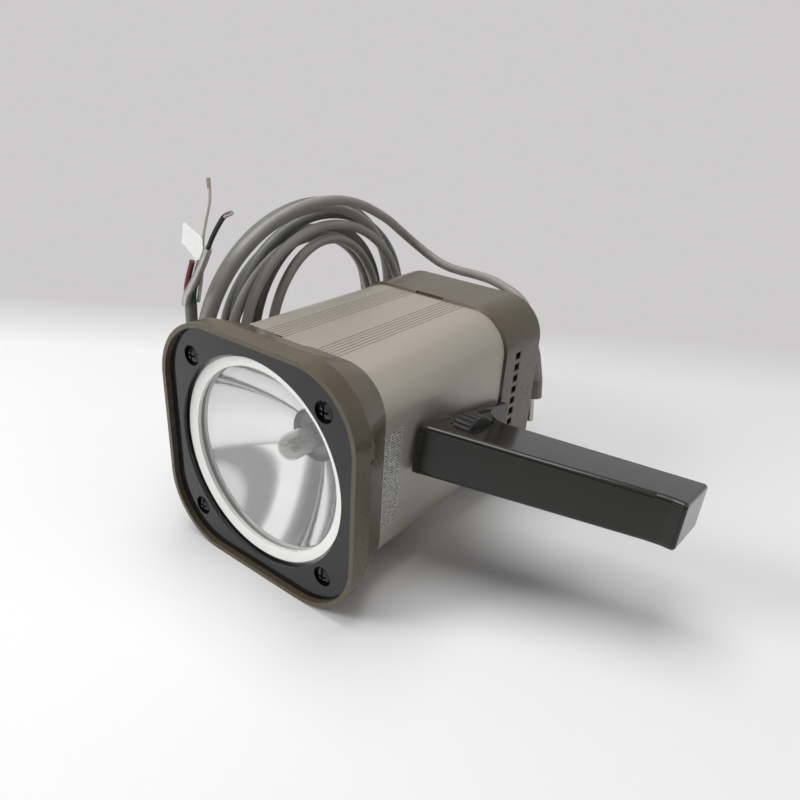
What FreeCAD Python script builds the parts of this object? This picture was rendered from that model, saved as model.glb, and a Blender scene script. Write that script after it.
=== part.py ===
import FreeCAD, Part
import math
import os
import types
import Sketcher

# A hand-held stroboscope: lamp housing, swivelling side grip and two coiled cords.
# Millimetres, +Z up, +Y from the lamp towards the rear, +X towards the grip.
# Pieces are drawn from the middle of the bezel's bottom edge, then placed about the origin.

SIZES = {
    # bezel
    "bezel_height": 128.0,
    "bezel_wider": 2.0,
    "bezel_depth": 31.0,
    "bezel_corner": 36.0,
    "bezel_rim": 10.6,
    "bezel_lip": 2.4,
    "bezel_slot_width": 4.6,
    "bezel_slot_height": 20.0,
    "bezel_slot_depth": 1.8,
    "bezel_slot_top": 20.6,
    "bezel_slot_front": 9.9,
    "notch_width": 19.4,
    "notch_depth": 2.2,
    "bezel_notch_depth": 5.2,
    "notch_height": 1.2,
    # front plate and lamp window
    "plate_inset": 3.0,
    "plate_thickness": 4.0,
    "plate_gap": 0.2,
    "plate_hole_share": 0.85625,
    "screw_offset_share": 0.68516,
    "screw_radius": 2.0,
    "screw_gap": 0.1,
    "screw_head_radius": 4.0,
    "screw_head_height": 2.4,
    "screw_well_radius": 5.25,
    "screw_well_depth": 2.2,
    "screw_cross_width": 1.2,
    "screw_cross_depth": 1.5,
    "plate_screw_length": 42.0,
    "ring_gap": 1.4,
    "ring_width": 4.9,
    "ring_proud": 1.3,
    "flange_overlap": 2.7,
    "ring_flange": 2.0,
    "shelf_margin": 1.9,
    "window_thickness": 3.0,
    "gasket_thickness": 1.0,
    "reflector_wall": 1.0,
    "reflector_narrowing": 13.9,
    "reflector_hole_radius": 15.0,
    "reflector_waist_depth": 16.2,
    "reflector_depth": 30.0,
    # lamp
    "lamp_radius": 7.2,
    "lamp_wall": 1.0,
    "lamp_front": 20.0,
    "lamp_socket_front": 46.0,
    "lamp_socket_depth": 6.0,
    "lamp_base_radius": 13.0,
    "lamp_base_length": 16.0,
    "tube_radius": 1.9,
    "tube_leg_offset": 3.7,
    "tube_bend_back": 10.0,
    "pin_radius": 1.0,
    "pin_length": 10.0,
    "pin_spacing": 7.0,
    # housing extrusion
    "body_share": 0.85,
    "collar": 1.4,
    "body_length": 109.0,
    "body_corner_share": 0.4228,
    "body_wall": 2.0,
    "channel_radius": 4.0,
    "channel_web": 4.0,
    "rib_pitch": 2.58,
    "rib_groove": 0.8,
    "rib_depth": 0.25,
    "rib_inner": 11.0,
    "rib_count": 6,
    # blank label
    "label_width": 13.4,
    "label_height_share": 0.407,
    "label_thickness": 0.3,
    "label_from_bezel": 1.5,
    "label_foot_share": 0.283,
    # rear cover and panel
    "cover_length": 44.0,
    "cover_wall": 2.4,
    "cover_round": 2.6,
    "vent_width": 5.5,
    "vent_height": 4.4,
    "vent_pitch_share": 0.05625,
    "vent_count": 9,
    "vent_from_front": 12.8,
    "vent_cut": 8.0,
    "panel_recess": 4.0,
    "panel_thickness": 2.0,
    "panel_gap": 0.3,
    "rear_foot_radius": 7.0,
    "rear_foot_spacing": 46.0,
    "rear_foot_from_front": 28.0,
    "panel_screw_length": 50.0,
    # chassis inside
    "sled_width": 56.0,
    "sled_thickness": 1.5,
    "sled_flange": 9.0,
    "sled_from_bezel": 4.0,
    "sled_from_panel": 4.0,
    "bracket_width": 32.0,
    "bracket_height": 76.0,
    "bracket_foot": 12.0,
    "bracket_hole": 7.0,
    "core_width": 42.0,
    "core_depth": 22.0,
    "core_height": 40.0,
    "core_limb": 7.0,
    "core_from_bezel": 58.0,
    "winding_gap": 0.3,
    "winding_build": 7.0,
    "capacitor_radius": 11.0,
    "capacitor_height": 34.0,
    "capacitor_spacing": 26.0,
    "capacitor_from_bezel": 100.0,
    "board_width": 68.0,
    "board_thickness": 1.6,
    "board_height": 56.0,
    "board_from_bezel": 45.0,
    "board_from_panel": 31.0,
    "standoff_radius": 2.5,
    "standoff_inset": 4.0,
    "standoff_spacing": 46.0,
    "trigger_radius": 7.0,
    "trigger_height": 16.0,
    "trigger_inset": 12.0,
    "component_size": 12.0,
    "component_pitch": 18.0,
    "component_count": 3,
    # side grip, in its own frame: outwards, back and up from the swivel axis
    "swivel_from_bezel": 52.7,
    "swivel_share": 0.5273,
    "swivel_tilt": -11.8,
    "grip_clearance": 2.7,
    "grip_length": 119.4,
    "grip_rake": 32.6,
    "grip_setback": 7.1,
    "grip_root_width": 45.9,
    "grip_end_width": 38.3,
    "grip_root_height": 25.5,
    "grip_end_height": 23.3,
    "grip_corner": 2.8,
    "grip_end_round": 2.0,
    "grip_flare": 3.2,
    "grip_flare_length": 13.7,
    "grip_wall": 2.6,
    "grip_root_block": 30.6,
    "grip_boss_radius": 4.0,
    "grip_screw_radius": 1.5,
    "grip_screw_head": 2.8,
    "grip_screw_sink": 2.6,
    "grip_screw_reach": 5.0,
    "grip_screw_inner": 46.4,
    "grip_screw_from_end": 16.0,
    "foot_thickness": 3.0,
    "foot_reach": 58.0,
    "gusset_start": 47.5,
    "gusset_mid_out": 10.0,
    "gusset_mid_back": 26.4,
    "gusset_top": 21.6,
    "gusset_top_back": 20.6,
    # thumbwheel and its bush
    "wheel_radius": 17.9,
    "wheel_width": 10.3,
    "wheel_out": 6.6,
    "wheel_gap": 0.3,
    "knurl_radius": 1.0,
    "knurl_count": 36,
    "wheel_chamfer": 1.0,
    "stud_radius": 4.0,
    "stud_gap": 0.08,
    "stud_inner": 9.0,
    "stud_outer": 8.0,
    "bush_neck_radius": 6.0,
    "bush_flange_radius": 11.0,
    "bush_length": 10.0,
    "bush_gap": 0.3,
    "nut_radius": 9.0,
    "nut_thickness": 4.0,
    # rear controls
    "dial_across_share": -0.15625,
    "dial_up_share": 0.671875,
    "dial_radius": 17.0,
    "dial_length": 13.0,
    "dial_grip_radius": 1.1,
    "dial_grip_count": 24,
    "dial_pointer_width": 1.4,
    "dial_pointer_depth": 0.8,
    "dial_recess_radius": 6.6,
    "dial_recess_depth": 4.0,
    "dial_gap": 0.6,
    "shaft_radius": 3.0,
    "shaft_gap": 0.06,
    "shaft_sunk": 8.0,
    "pot_radius": 12.0,
    "pot_length": 11.0,
    "pot_bushing_radius": 4.5,
    "pot_bushing_length": 4.2,
    "pot_nut_radius": 6.0,
    "pot_nut_thickness": 2.0,
    "rocker_across_share": 0.171875,
    "rocker_up_share": 0.3125,
    "rocker_width": 13.0,
    "rocker_length": 19.0,
    "rocker_frame_rim": 1.5,
    "rocker_frame_lip": 1.2,
    "rocker_body_depth": 16.0,
    "rocker_gap": 0.35,
    "rocker_rise": 2.6,
    "rocker_pin_radius": 1.2,
    "rocker_sunk": 4.0,
    "toggle_across_share": 0.171875,
    "toggle_up_share": 0.5625,
    "toggle_radius": 1.6,
    "toggle_tip_radius": 2.6,
    "toggle_length": 11.0,
    "toggle_ball_radius": 2.8,
    "toggle_pin_radius": 0.8,
    "toggle_pin_length": 7.2,
    "toggle_pin_gap": 0.2,
    "toggle_bushing_radius": 4.4,
    "toggle_bushing_length": 5.0,
    "toggle_body_size": 12.0,
    "toggle_body_depth": 12.0,
    "toggle_nut_radius": 6.2,
    "toggle_nut_thickness": 1.8,
    "fuse_across_share": -0.328,
    "fuse_up_share": 0.39,
    "fuse_radius": 5.5,
    "fuse_depth": 18.0,
    "fuse_cap_radius": 7.0,
    "fuse_cap_length": 7.0,
    # cords and plug
    "power_cord_radius": 3.0,
    "signal_cord_radius": 3.3,
    "power_gland_across_share": -0.0703,
    "power_gland_up_share": 0.3906,
    "signal_gland_across_share": -0.1953,
    "signal_gland_up_share": 0.21875,
    "gland_neck_radius": 6.0,
    "gland_flange_radius": 8.5,
    "gland_flange": 3.0,
    "gland_length": 30.0,
    "gland_tip_wall": 1.4,
    "gland_inner": 6.0,
    "plug_x": 44.0,
    "plug_y": 205.0,
    "plug_z": 50.5,
    "plug_lean": 6.0,
    "plug_turn": 31.0,
    "plug_width": 31.0,
    "plug_thickness": 14.0,
    "plug_length": 26.0,
    "plug_corner": 4.0,
    "plug_boot_length": 9.0,
    "plug_boot_radius": 6.0,
    "plug_pin_radius": 2.3,
    "plug_pin_length": 19.0,
    "plug_pin_spacing": 19.0,
    "power_coil_first_layer": -76.6,
    "power_coil_last_layer": -69.6,
    "power_coil_front": 20.0,
    "power_coil_front_step": 25.0,
    "power_coil_rear": 220.0,
    "power_coil_rear_step": -20.0,
    "power_coil_bottom_step": 7.6,
    "power_coil_top": 168.0,
    "power_coil_top_step": -13.0,
    "power_coil_first_degrees": -40.0,
    "power_coil_quarters": 19,
    "signal_coil_first_layer": -92.0,
    "signal_coil_last_layer": -84.4,
    "signal_coil_front": 35.0,
    "signal_coil_front_step": 22.0,
    "signal_coil_rear": 232.0,
    "signal_coil_rear_step": -20.0,
    "signal_coil_bottom_step": 8.0,
    "signal_coil_top": 165.0,
    "signal_coil_top_step": -12.0,
    "signal_coil_first_degrees": -90.0,
    "signal_coil_quarters": 17,
    "coil_entry_run": 21.0,
    "coil_exit_run": 15.0,
    "plug_entry_run": 10.0,
    "green_core_radius": 2.2,
    "red_core_radius": 1.5,
    "white_core_radius": 1.0,
    "black_core_radius": 1.2,
    "screen_radius": 2.2,
    "tag_left": -89.5,
    "tag_front": 35.4,
    "tag_foot": 142.5,
    "tag_width": 17.7,
    "tag_height": 18.4,
    "tag_thickness": 0.4,
    # how far a cut runs past what it cuts
    "overrun": 1.0,
}

# routes of the cords' free stretches and of the bare cores, chosen by hand
POWER_LEAD_POINTS = ((-9, 230, 50.5), (-14, 249, 51.5), (-28, 262, 53), (-46, 264, 54.5), (-62, 256, 56),
                     (-73, 241, 57))
POWER_TAIL_POINTS = ((-66, 213.5, 128), (-56, 219, 120), (-43, 219.5, 115), (-28, 217.5, 114.4),
                     (-13, 214, 115.6), (2, 209.8, 116.3), (15.5, 206.2, 114.5), (28.1, 203.7, 110.9),
                     (35.5, 202.8, 104.2))
SIGNAL_LEAD_POINTS = ((-25, 228, 27), (-27, 246, 21), (-34, 262, 12), (-49, 272, 6), (-67, 270, 3.5),
                      (-81, 259, 3.4), (-90, 241, 3.3), (-92.2, 205, 3.3))
SIGNAL_END_POINTS = ((-85, 35, 118),)
CORE_POINTS = {
    "wire_green": ("green_core_radius",
                   ((-84, 35.1, 118), (-82.6, 35.1, 126), (-78, 35, 134), (-73.8, 35, 142))),
    "wire_red": ("red_core_radius",
                 ((-88, 35.4, 118), (-89, 35.6, 124.5), (-86, 35.8, 132.5), (-82.2, 36, 141))),
    "wire_white": ("white_core_radius",
                   ((-83, 38.4, 118), (-79.5, 38.6, 130), (-76, 38, 143), (-74, 37.2, 155),
                    (-69, 36.4, 165.5), (-64.2, 35.8, 176), (-64, 35.5, 186))),
    "wire_shield": ("screen_radius",
                    ((-83.5, 30.6, 118), (-81.5, 30.8, 124.5), (-75, 31.2, 133), (-68.5, 32, 143),
                     (-63.8, 32.6, 152))),
    "wire_black": ("black_core_radius",
                   ((-63.8, 32.6, 152), (-61, 33, 157.4), (-57.2, 33.8, 163.5), (-52.3, 34.4, 169.7),
                    (-47, 34.8, 172))),
}

# shares of the sizes that they multiply
DIAGONAL = math.sqrt(0.5)
CROSS_ARM_SHARE = 0.6
COMPONENT_HEIGHT_SHARE = 0.67
COMPONENT_ROUND_SHARE = 0.33
CORNER_LOSS_SHARE = 0.8
KNURL_SINK_SHARE = 0.33
TOGGLE_NECK_SHARE = 0.9
FUSE_CAP_SHARE = 0.85
ROCKER_DIP_SHARE = 0.33
ROUTE_CUT_SHARE = 0.45
TAG_SHARES = ((0.16, 1.0), (0.0, 0.41), (0.655, 0.0), (0.977, 0.136), (1.0, 0.68))
# angles and counts
QUARTER = 90
HEX = 6

doc = FreeCAD.newDocument("stroboscope")
sheet = doc.addObject("Spreadsheet::Sheet", "sizes")
for row, (alias, amount) in enumerate(SIZES.items(), 1):
    sheet.set(f"A{row}", alias)
    sheet.set(f"B{row}", str(amount))
    sheet.setAlias(f"B{row}", alias)
doc.recompute()


class Size:
    """A number together with the sheet formula that gives it."""

    def __init__(self, number, formula):
        self.number = number
        self.formula = formula

    def __add__(self, other):
        return Size(self.number + float(other), f"({self.formula} + {formula_of(other)})")

    def __radd__(self, other):
        return Size(float(other) + self.number, f"({formula_of(other)} + {self.formula})")

    def __sub__(self, other):
        return Size(self.number - float(other), f"({self.formula} - {formula_of(other)})")

    def __rsub__(self, other):
        return Size(float(other) - self.number, f"({formula_of(other)} - {self.formula})")

    def __mul__(self, other):
        return Size(self.number * float(other), f"({self.formula} * {formula_of(other)})")

    __rmul__ = __mul__

    def __truediv__(self, other):
        return Size(self.number / float(other), f"({self.formula} / {formula_of(other)})")

    def __neg__(self):
        return Size(-self.number, f"(-1 * {self.formula})")

    def __float__(self):
        return float(self.number)


def formula_of(value):
    return value.formula if isinstance(value, Size) else repr(float(value))


S = types.SimpleNamespace(**{name: Size(amount, "sizes." + name) for name, amount in SIZES.items()})
PIECES = []
CORD_PIECES = []


def bind(item, path, value):
    item.setExpression(path, formula_of(value))


def vector(*numbers):
    return FreeCAD.Vector(*[float(number) for number in numbers])


class Piece:
    """One sub-part as a PartDesign body, built up feature by feature."""

    def __init__(self, label, on_cord=False):
        self.body = doc.addObject("PartDesign::Body", label)
        self.body.Label = label
        self.body.AllowCompound = True
        PIECES.append(self.body)
        if on_cord:
            CORD_PIECES.append(self.body)

    def datum(self, role):
        return next(item for item in self.body.Origin.OriginFeatures if item.Role == role)

    def sketch(self, role, x=0, y=0, z=0):
        """A sketch on an origin plane, with its own origin at the given point."""
        sketch = self.body.newObject("Sketcher::SketchObject", "sketch")
        sketch.AttachmentSupport = [(self.datum(role), "")]
        sketch.MapMode = "FlatFace"
        across, along, out = {"XY_Plane": (x, y, z), "XZ_Plane": (x, z, -y), "YZ_Plane": (y, z, x)}[role]
        bind(sketch, "AttachmentOffset.Base.x", across)
        bind(sketch, "AttachmentOffset.Base.y", along)
        bind(sketch, "AttachmentOffset.Base.z", out)
        return sketch

    def feature(self, kind, sketch, length, forwards):
        feature = self.body.newObject("PartDesign::" + kind, kind.lower())
        feature.Profile = sketch
        bind(feature, "Length", length)
        feature.Reversed = not forwards
        return feature

    def pad(self, sketch, length):
        """Extrude towards the positive axis."""
        on_front = sketch.AttachmentSupport[0][0].Role == "XZ_Plane"
        return self.feature("Pad", sketch, length, not on_front)

    def pocket(self, sketch, length):
        """Cut towards the positive axis."""
        on_front = sketch.AttachmentSupport[0][0].Role == "XZ_Plane"
        return self.feature("Pocket", sketch, length, on_front)

    def turn(self, sketch, axis="V_Axis"):
        feature = self.body.newObject("PartDesign::Revolution", "turned")
        feature.Profile = sketch
        feature.ReferenceAxis = (sketch, [axis])
        return feature

    def loft(self, sketches, kind="Additive"):
        feature = self.body.newObject(f"PartDesign::{kind}Loft", "loft")
        feature.Profile = sketches[0]
        feature.Sections = sketches[1:]
        feature.Ruled = True
        return feature

    def pipe(self, path, section):
        feature = self.body.newObject("PartDesign::AdditivePipe", "pipe")
        feature.Profile = section
        feature.Spine = path
        return feature

    def block(self, low, high, kind="Additive"):
        """A box from its low corner to its high corner."""
        feature = self.body.newObject(f"PartDesign::{kind}Box", "block")
        for side, axis, start, end in zip(("Length", "Width", "Height"), "xyz", low, high):
            bind(feature, side, end - start)
            bind(feature, "Placement.Base." + axis, start)
        return feature

    def rod(self, start, axis, length, radius, kind="Additive"):
        """A cylinder from a point along X, Y or Z."""
        feature = self.body.newObject(f"PartDesign::{kind}Cylinder", "rod")
        turned = {"x": (vector(0, 1, 0), QUARTER), "y": (vector(1, 0, 0), -QUARTER),
                  "z": (vector(0, 0, 1), 0)}
        feature.Placement = FreeCAD.Placement(vector(0, 0, 0), FreeCAD.Rotation(*turned[axis]))
        for name, value in zip("xyz", start):
            bind(feature, "Placement.Base." + name, value)
        bind(feature, "Height", length)
        bind(feature, "Radius", radius)
        return feature

    def row(self, feature, direction, pitch, count):
        pattern = self.body.newObject("PartDesign::LinearPattern", "row")
        pattern.Originals = [feature]
        pattern.Direction = (self.datum(direction), [""])
        bind(pattern, "Length", pitch * (count - 1))
        bind(pattern, "Occurrences", count)
        self.body.Tip = pattern
        return pattern

    def ring(self, features, sketch, axis, count):
        pattern = self.body.newObject("PartDesign::PolarPattern", "ring")
        pattern.Originals = features
        pattern.Axis = (sketch, [axis])
        bind(pattern, "Occurrences", count)
        self.body.Tip = pattern
        return pattern

    def round_edges(self, chosen, radius, kind="Fillet"):
        """Fillet or chamfer the edges that the test picks."""
        doc.recompute()
        base = self.body.Tip
        names = [f"Edge{i}" for i, edge in enumerate(base.Shape.Edges, 1) if chosen(edge)]
        feature = self.body.newObject("PartDesign::" + kind, kind.lower())
        feature.Base = (base, names)
        bind(feature, "Radius" if kind == "Fillet" else "Size", radius)
        return feature


def constrain(sketch, geometry, point, x, y):
    """Bind a point of the sketch to its two coordinates."""
    for kind, value in (("DistanceX", x), ("DistanceY", y)):
        index = sketch.addConstraint(Sketcher.Constraint(kind, geometry, point, float(value)))
        name = f"{kind}{index}"
        sketch.renameConstraint(index, name)
        bind(sketch, "Constraints." + name, value)


def rounded(sketch, left, right, low, high, corner):
    """A rectangle with four equal round corners."""
    corners = [(right - corner, low + corner), (right - corner, high - corner),
               (left + corner, high - corner), (left + corner, low + corner)]
    lines = [((left + corner, low), (right - corner, low)), ((right, low + corner), (right, high - corner)),
             ((right - corner, high), (left + corner, high)), ((left, high - corner), (left, low + corner))]
    sides = []
    arcs = []
    for number, (start, end) in enumerate(lines):
        sides.append(sketch.addGeometry(Part.LineSegment(vector(*start, 0), vector(*end, 0))))
        circle = Part.Circle(vector(*corners[number], 0), vector(0, 0, 1), float(corner))
        first = math.radians(QUARTER * (number - 1))
        arcs.append(sketch.addGeometry(Part.ArcOfCircle(circle, first, first + math.radians(QUARTER))))
    for number in range(4):
        following = sides[(number + 1) % 4]
        sketch.addConstraint(Sketcher.Constraint("Tangent", sides[number], 2, arcs[number], 1))
        sketch.addConstraint(Sketcher.Constraint("Tangent", arcs[number], 2, following, 1))
    for number in (0, 2):
        sketch.addConstraint(Sketcher.Constraint("Horizontal", sides[number]))
        sketch.addConstraint(Sketcher.Constraint("Vertical", sides[number + 1]))
    for number in (1, 2, 3):
        sketch.addConstraint(Sketcher.Constraint("Equal", arcs[0], arcs[number]))
    places = [("Radius", arcs[0], None, corner), ("DistanceY", sides[0], 1, low),
              ("DistanceY", sides[2], 1, high), ("DistanceX", sides[1], 1, right),
              ("DistanceX", sides[3], 1, left)]
    for kind, geometry, point, value in places:
        where = (geometry,) if point is None else (geometry, point)
        index = sketch.addConstraint(Sketcher.Constraint(kind, *where, float(value)))
        name = f"side{index}"
        sketch.renameConstraint(index, name)
        bind(sketch, "Constraints." + name, value)


def circle(sketch, x, y, radius):
    geometry = sketch.addGeometry(Part.Circle(vector(x, y, 0), vector(0, 0, 1), float(radius)))
    constrain(sketch, geometry, 3, x, y)
    index = sketch.addConstraint(Sketcher.Constraint("Radius", geometry, float(radius)))
    name = f"radius{index}"
    sketch.renameConstraint(index, name)
    bind(sketch, "Constraints." + name, radius)


def add_arc(sketch, start, through, end):
    """Add an arc, which a sketch holds anticlockwise, and tell which of its ends come first and last."""
    middle = Part.Arc(start, through, end).toShape().Curve.Center
    radius = start.distanceToPoint(middle)
    anticlockwise = (through - start).cross(end - through).z > 0
    first, last = (start, end) if anticlockwise else (end, start)
    angles = [math.atan2(point.y - middle.y, point.x - middle.x) for point in (first, last)]
    if angles[1] < angles[0]:
        angles[1] += 2 * math.pi
    geometry = sketch.addGeometry(Part.ArcOfCircle(Part.Circle(middle, vector(0, 0, 1), radius), *angles))
    return (geometry, 1, 2) if anticlockwise else (geometry, 2, 1)


def outline(sketch, *corners, closed=True):
    """Lines from corner to corner; four values are an arc through the first two to the last two."""
    previous = corners[0]
    first = None
    last = None
    ends = list(corners[1:])
    if closed and vector(*ends[-1][-2:], 0) != vector(*corners[0], 0):
        ends.append(corners[0])
    for step, corner in enumerate(ends):
        end = corner[-2:]
        if len(corner) == 4:
            through = corner[:2]
            points = [vector(*place, 0) for place in (previous, through, end)]
            geometry, begin, finish = add_arc(sketch, *points)
            point = sketch.addGeometry(Part.Point(vector(*through, 0)), True)
            constrain(sketch, point, 1, *through)
            sketch.addConstraint(Sketcher.Constraint("PointOnObject", point, 1, geometry))
        else:
            geometry = sketch.addGeometry(Part.LineSegment(vector(*previous, 0), vector(*end, 0)))
            begin, finish = 1, 2
        if last is None:
            first = (geometry, begin)
            constrain(sketch, geometry, begin, *previous)
        else:
            sketch.addConstraint(Sketcher.Constraint("Coincident", *last, geometry, begin))
        if closed and step == len(ends) - 1:
            sketch.addConstraint(Sketcher.Constraint("Coincident", geometry, finish, *first))
        else:
            constrain(sketch, geometry, finish, *end)
        last = (geometry, finish)
        previous = end


# places that several pieces share
bezel_half = (S.bezel_height + S.bezel_wider) / 2
lamp_height = S.bezel_height / 2
plate_back = S.plate_inset + S.plate_thickness
plate_hole = lamp_height * S.plate_hole_share
ring_outer = plate_hole - S.ring_gap
ring_inner = ring_outer - S.ring_width
flange_radius = plate_hole + S.flange_overlap
shelf_radius = ring_inner + S.shelf_margin
reflector_waist = ring_inner - S.reflector_narrowing
shelf_front = plate_back + S.ring_flange + S.window_thickness + S.gasket_thickness + S.reflector_wall
screw_offset = lamp_height * S.screw_offset_share
body_half = lamp_height * S.body_share
body_foot = lamp_height - body_half
body_top = lamp_height + body_half
body_corner = body_half * S.body_corner_share
body_back = S.bezel_depth + S.body_length
cover_half = body_half + S.collar
cover_foot = body_foot - S.collar
cover_top = body_top + S.collar
cover_corner = body_corner + S.collar
cover_back = body_back + S.cover_length
panel_back = cover_back - S.panel_recess
panel_front = panel_back - S.panel_thickness
hole_radius = S.screw_radius + S.screw_gap
floor_inside = body_foot + S.body_wall
sled_top = floor_inside + S.sled_thickness
swivel_y = S.bezel_depth + S.swivel_from_bezel
swivel_height = S.bezel_height * S.swivel_share
grip_root = body_half + S.grip_clearance


def on_panel(across, up):
    """A place on the rear panel, from its shares of the bezel's height."""
    return S.bezel_height * across, S.bezel_height * up


dial_place = on_panel(S.dial_across_share, S.dial_up_share)
rocker_place = on_panel(S.rocker_across_share, S.rocker_up_share)
toggle_place = on_panel(S.toggle_across_share, S.toggle_up_share)
fuse_place = on_panel(S.fuse_across_share, S.fuse_up_share)
power_gland_place = on_panel(S.power_gland_across_share, S.power_gland_up_share)
signal_gland_place = on_panel(S.signal_gland_across_share, S.signal_gland_up_share)
CORNERS = [(side, level) for side in (-1, 1) for level in (-1, 1)]


def screw_places(middle):
    """The four screw axes, a square about the lamp's axis."""
    return [(side * screw_offset, middle + level * screw_offset) for side, level in CORNERS]


def four_holes(piece, start, length):
    sketch = piece.sketch("XZ_Plane", y=start)
    for x, z in screw_places(lamp_height):
        circle(sketch, x, z, hole_radius)
    piece.pocket(sketch, length)


def four_channels(piece, start, length, half, corner, wall):
    """Screw channels in the corners, each on a web that joins it to the wall."""
    webs = piece.sketch("XZ_Plane", y=start)
    reach = half - corner + (corner - wall / 2) * DIAGONAL
    spread = S.channel_web / 2 * DIAGONAL
    near = screw_offset
    for side, level in CORNERS:
        outline(webs,
                (side * (near + spread), lamp_height + level * (near - spread)),
                (side * (reach + spread), lamp_height + level * (reach - spread)),
                (side * (reach - spread), lamp_height + level * (reach + spread)),
                (side * (near - spread), lamp_height + level * (near + spread)))
    piece.pad(webs, length)
    channels = piece.sketch("XZ_Plane", y=start)
    for x, z in screw_places(lamp_height):
        circle(channels, x, z, S.channel_radius)
    piece.pad(channels, length)


def four_screws(label, seat, way, length):
    """Pan heads with a cross recess, all four turned about the lamp's axis from one screw.

    The shank leaves the seat towards +Y where the way is 1, and towards -Y where it is -1.
    """
    piece = Piece(label)
    x, z = screw_places(lamp_height)[-1]
    crown = seat - way * S.screw_head_height
    tip = seat + way * length
    profile = piece.sketch("XY_Plane", x=x, z=z)
    outline(profile, (0, crown), (S.screw_head_radius / 2, crown),
            (S.screw_head_radius, crown + way * S.screw_head_height / 2), (S.screw_head_radius, seat),
            (S.screw_radius, seat), (S.screw_radius, tip), (0, tip))
    body = piece.turn(profile)
    half = S.screw_cross_width / 2
    arm = S.screw_head_radius * CROSS_ARM_SHARE
    low, high = sorted((crown - way * S.overrun, crown + way * S.screw_cross_depth), key=float)
    cuts = []
    for wide, tall in ((arm, half), (half, arm)):
        cuts.append(piece.block((x - wide, low, z - tall), (x + wide, high, z + tall), "Subtractive"))
    centre = piece.sketch("XZ_Plane", z=lamp_height)
    piece.ring([body] + cuts, centre, "N_Axis", len(CORNERS))
    return piece


def front_bezel():
    """A straight rim with the plate's seat, and a shoulder that narrows to a collar about the body."""
    piece = Piece("front_bezel")
    height = S.bezel_height
    front = piece.sketch("XZ_Plane")
    rounded(front, -bezel_half, bezel_half, 0 * height, height, S.bezel_corner)
    piece.pad(front, S.bezel_rim)
    rim = piece.sketch("XZ_Plane", y=S.bezel_rim)
    rounded(rim, -bezel_half, bezel_half, 0 * height, height, S.bezel_corner)
    back = piece.sketch("XZ_Plane", y=S.bezel_depth)
    rounded(back, -cover_half, cover_half, cover_foot, cover_top, cover_corner)
    piece.loft([rim, back])
    lip = S.bezel_lip
    seat = piece.sketch("XZ_Plane")
    rounded(seat, lip - bezel_half, bezel_half - lip, lip, height - lip, S.bezel_corner - lip)
    piece.pocket(seat, plate_back)
    stack = piece.sketch("XZ_Plane")
    circle(stack, 0, lamp_height, flange_radius + S.plate_gap)
    piece.pocket(stack, shelf_front)
    piece.rod((0, 0, lamp_height), "y", S.bezel_depth + S.overrun, shelf_radius, "Subtractive")
    four_holes(piece, 0, S.bezel_depth + S.overrun)
    slot_top = height - S.bezel_slot_top
    piece.block((bezel_half - S.bezel_slot_depth, S.bezel_slot_front, slot_top - S.bezel_slot_height),
                (bezel_half + S.overrun, S.bezel_slot_front + S.bezel_slot_width, slot_top), "Subtractive")
    piece.block((-S.notch_width / 2, S.bezel_depth - S.bezel_notch_depth, cover_top - S.notch_height),
                (S.notch_width / 2, S.bezel_depth + S.overrun, height), "Subtractive")


def front_plate():
    piece = Piece("front_plate")
    inset = S.bezel_lip + S.plate_gap
    face = piece.sketch("XZ_Plane", y=S.plate_inset)
    rounded(face, inset - bezel_half, bezel_half - inset, inset, S.bezel_height - inset,
            S.bezel_corner - inset)
    piece.pad(face, S.plate_thickness)
    piece.rod((0, S.plate_inset - S.overrun, lamp_height), "y", S.plate_thickness + 2 * S.overrun,
              plate_hole, "Subtractive")
    four_holes(piece, S.plate_inset, S.plate_thickness)
    wells = piece.sketch("XZ_Plane", y=S.plate_inset)
    for x, z in screw_places(lamp_height):
        circle(wells, x, z, S.screw_well_radius)
    piece.pocket(wells, S.screw_well_depth)


def about_lamp(label, *corners):
    """A piece turned about the lamp's axis; corners are radius and distance behind the bezel's rim."""
    piece = Piece(label)
    profile = piece.sketch("XY_Plane", z=lamp_height)
    outline(profile, *corners)
    piece.turn(profile)
    return piece


def lamp_window():
    """White ring, clear window, gasket and reflector: a stack between the plate and the bezel's shelf."""
    ring_back = plate_back + S.ring_flange
    about_lamp("window_ring", (ring_inner, plate_back), (ring_outer, plate_back - S.ring_proud),
               (ring_outer, plate_back), (flange_radius, plate_back), (flange_radius, ring_back),
               (ring_inner, ring_back))
    window_back = ring_back + S.window_thickness
    about_lamp("window", (0, ring_back), (flange_radius, ring_back), (flange_radius, window_back),
               (0, window_back))
    gasket_back = window_back + S.gasket_thickness
    about_lamp("window_gasket", (ring_inner + S.reflector_wall, window_back),
               (flange_radius, window_back), (flange_radius, gasket_back),
               (ring_inner + S.reflector_wall, gasket_back))
    wall = S.reflector_wall
    hole_y = gasket_back + S.reflector_depth
    waist_y = gasket_back + S.reflector_waist_depth
    about_lamp("reflector", (ring_inner, gasket_back), (flange_radius, gasket_back),
               (flange_radius, gasket_back + wall), (ring_inner + wall, gasket_back + wall),
               (reflector_waist + wall, waist_y + wall, S.reflector_hole_radius, hole_y + wall),
               (S.reflector_hole_radius, hole_y),
               (reflector_waist, waist_y, ring_inner, gasket_back))


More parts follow.
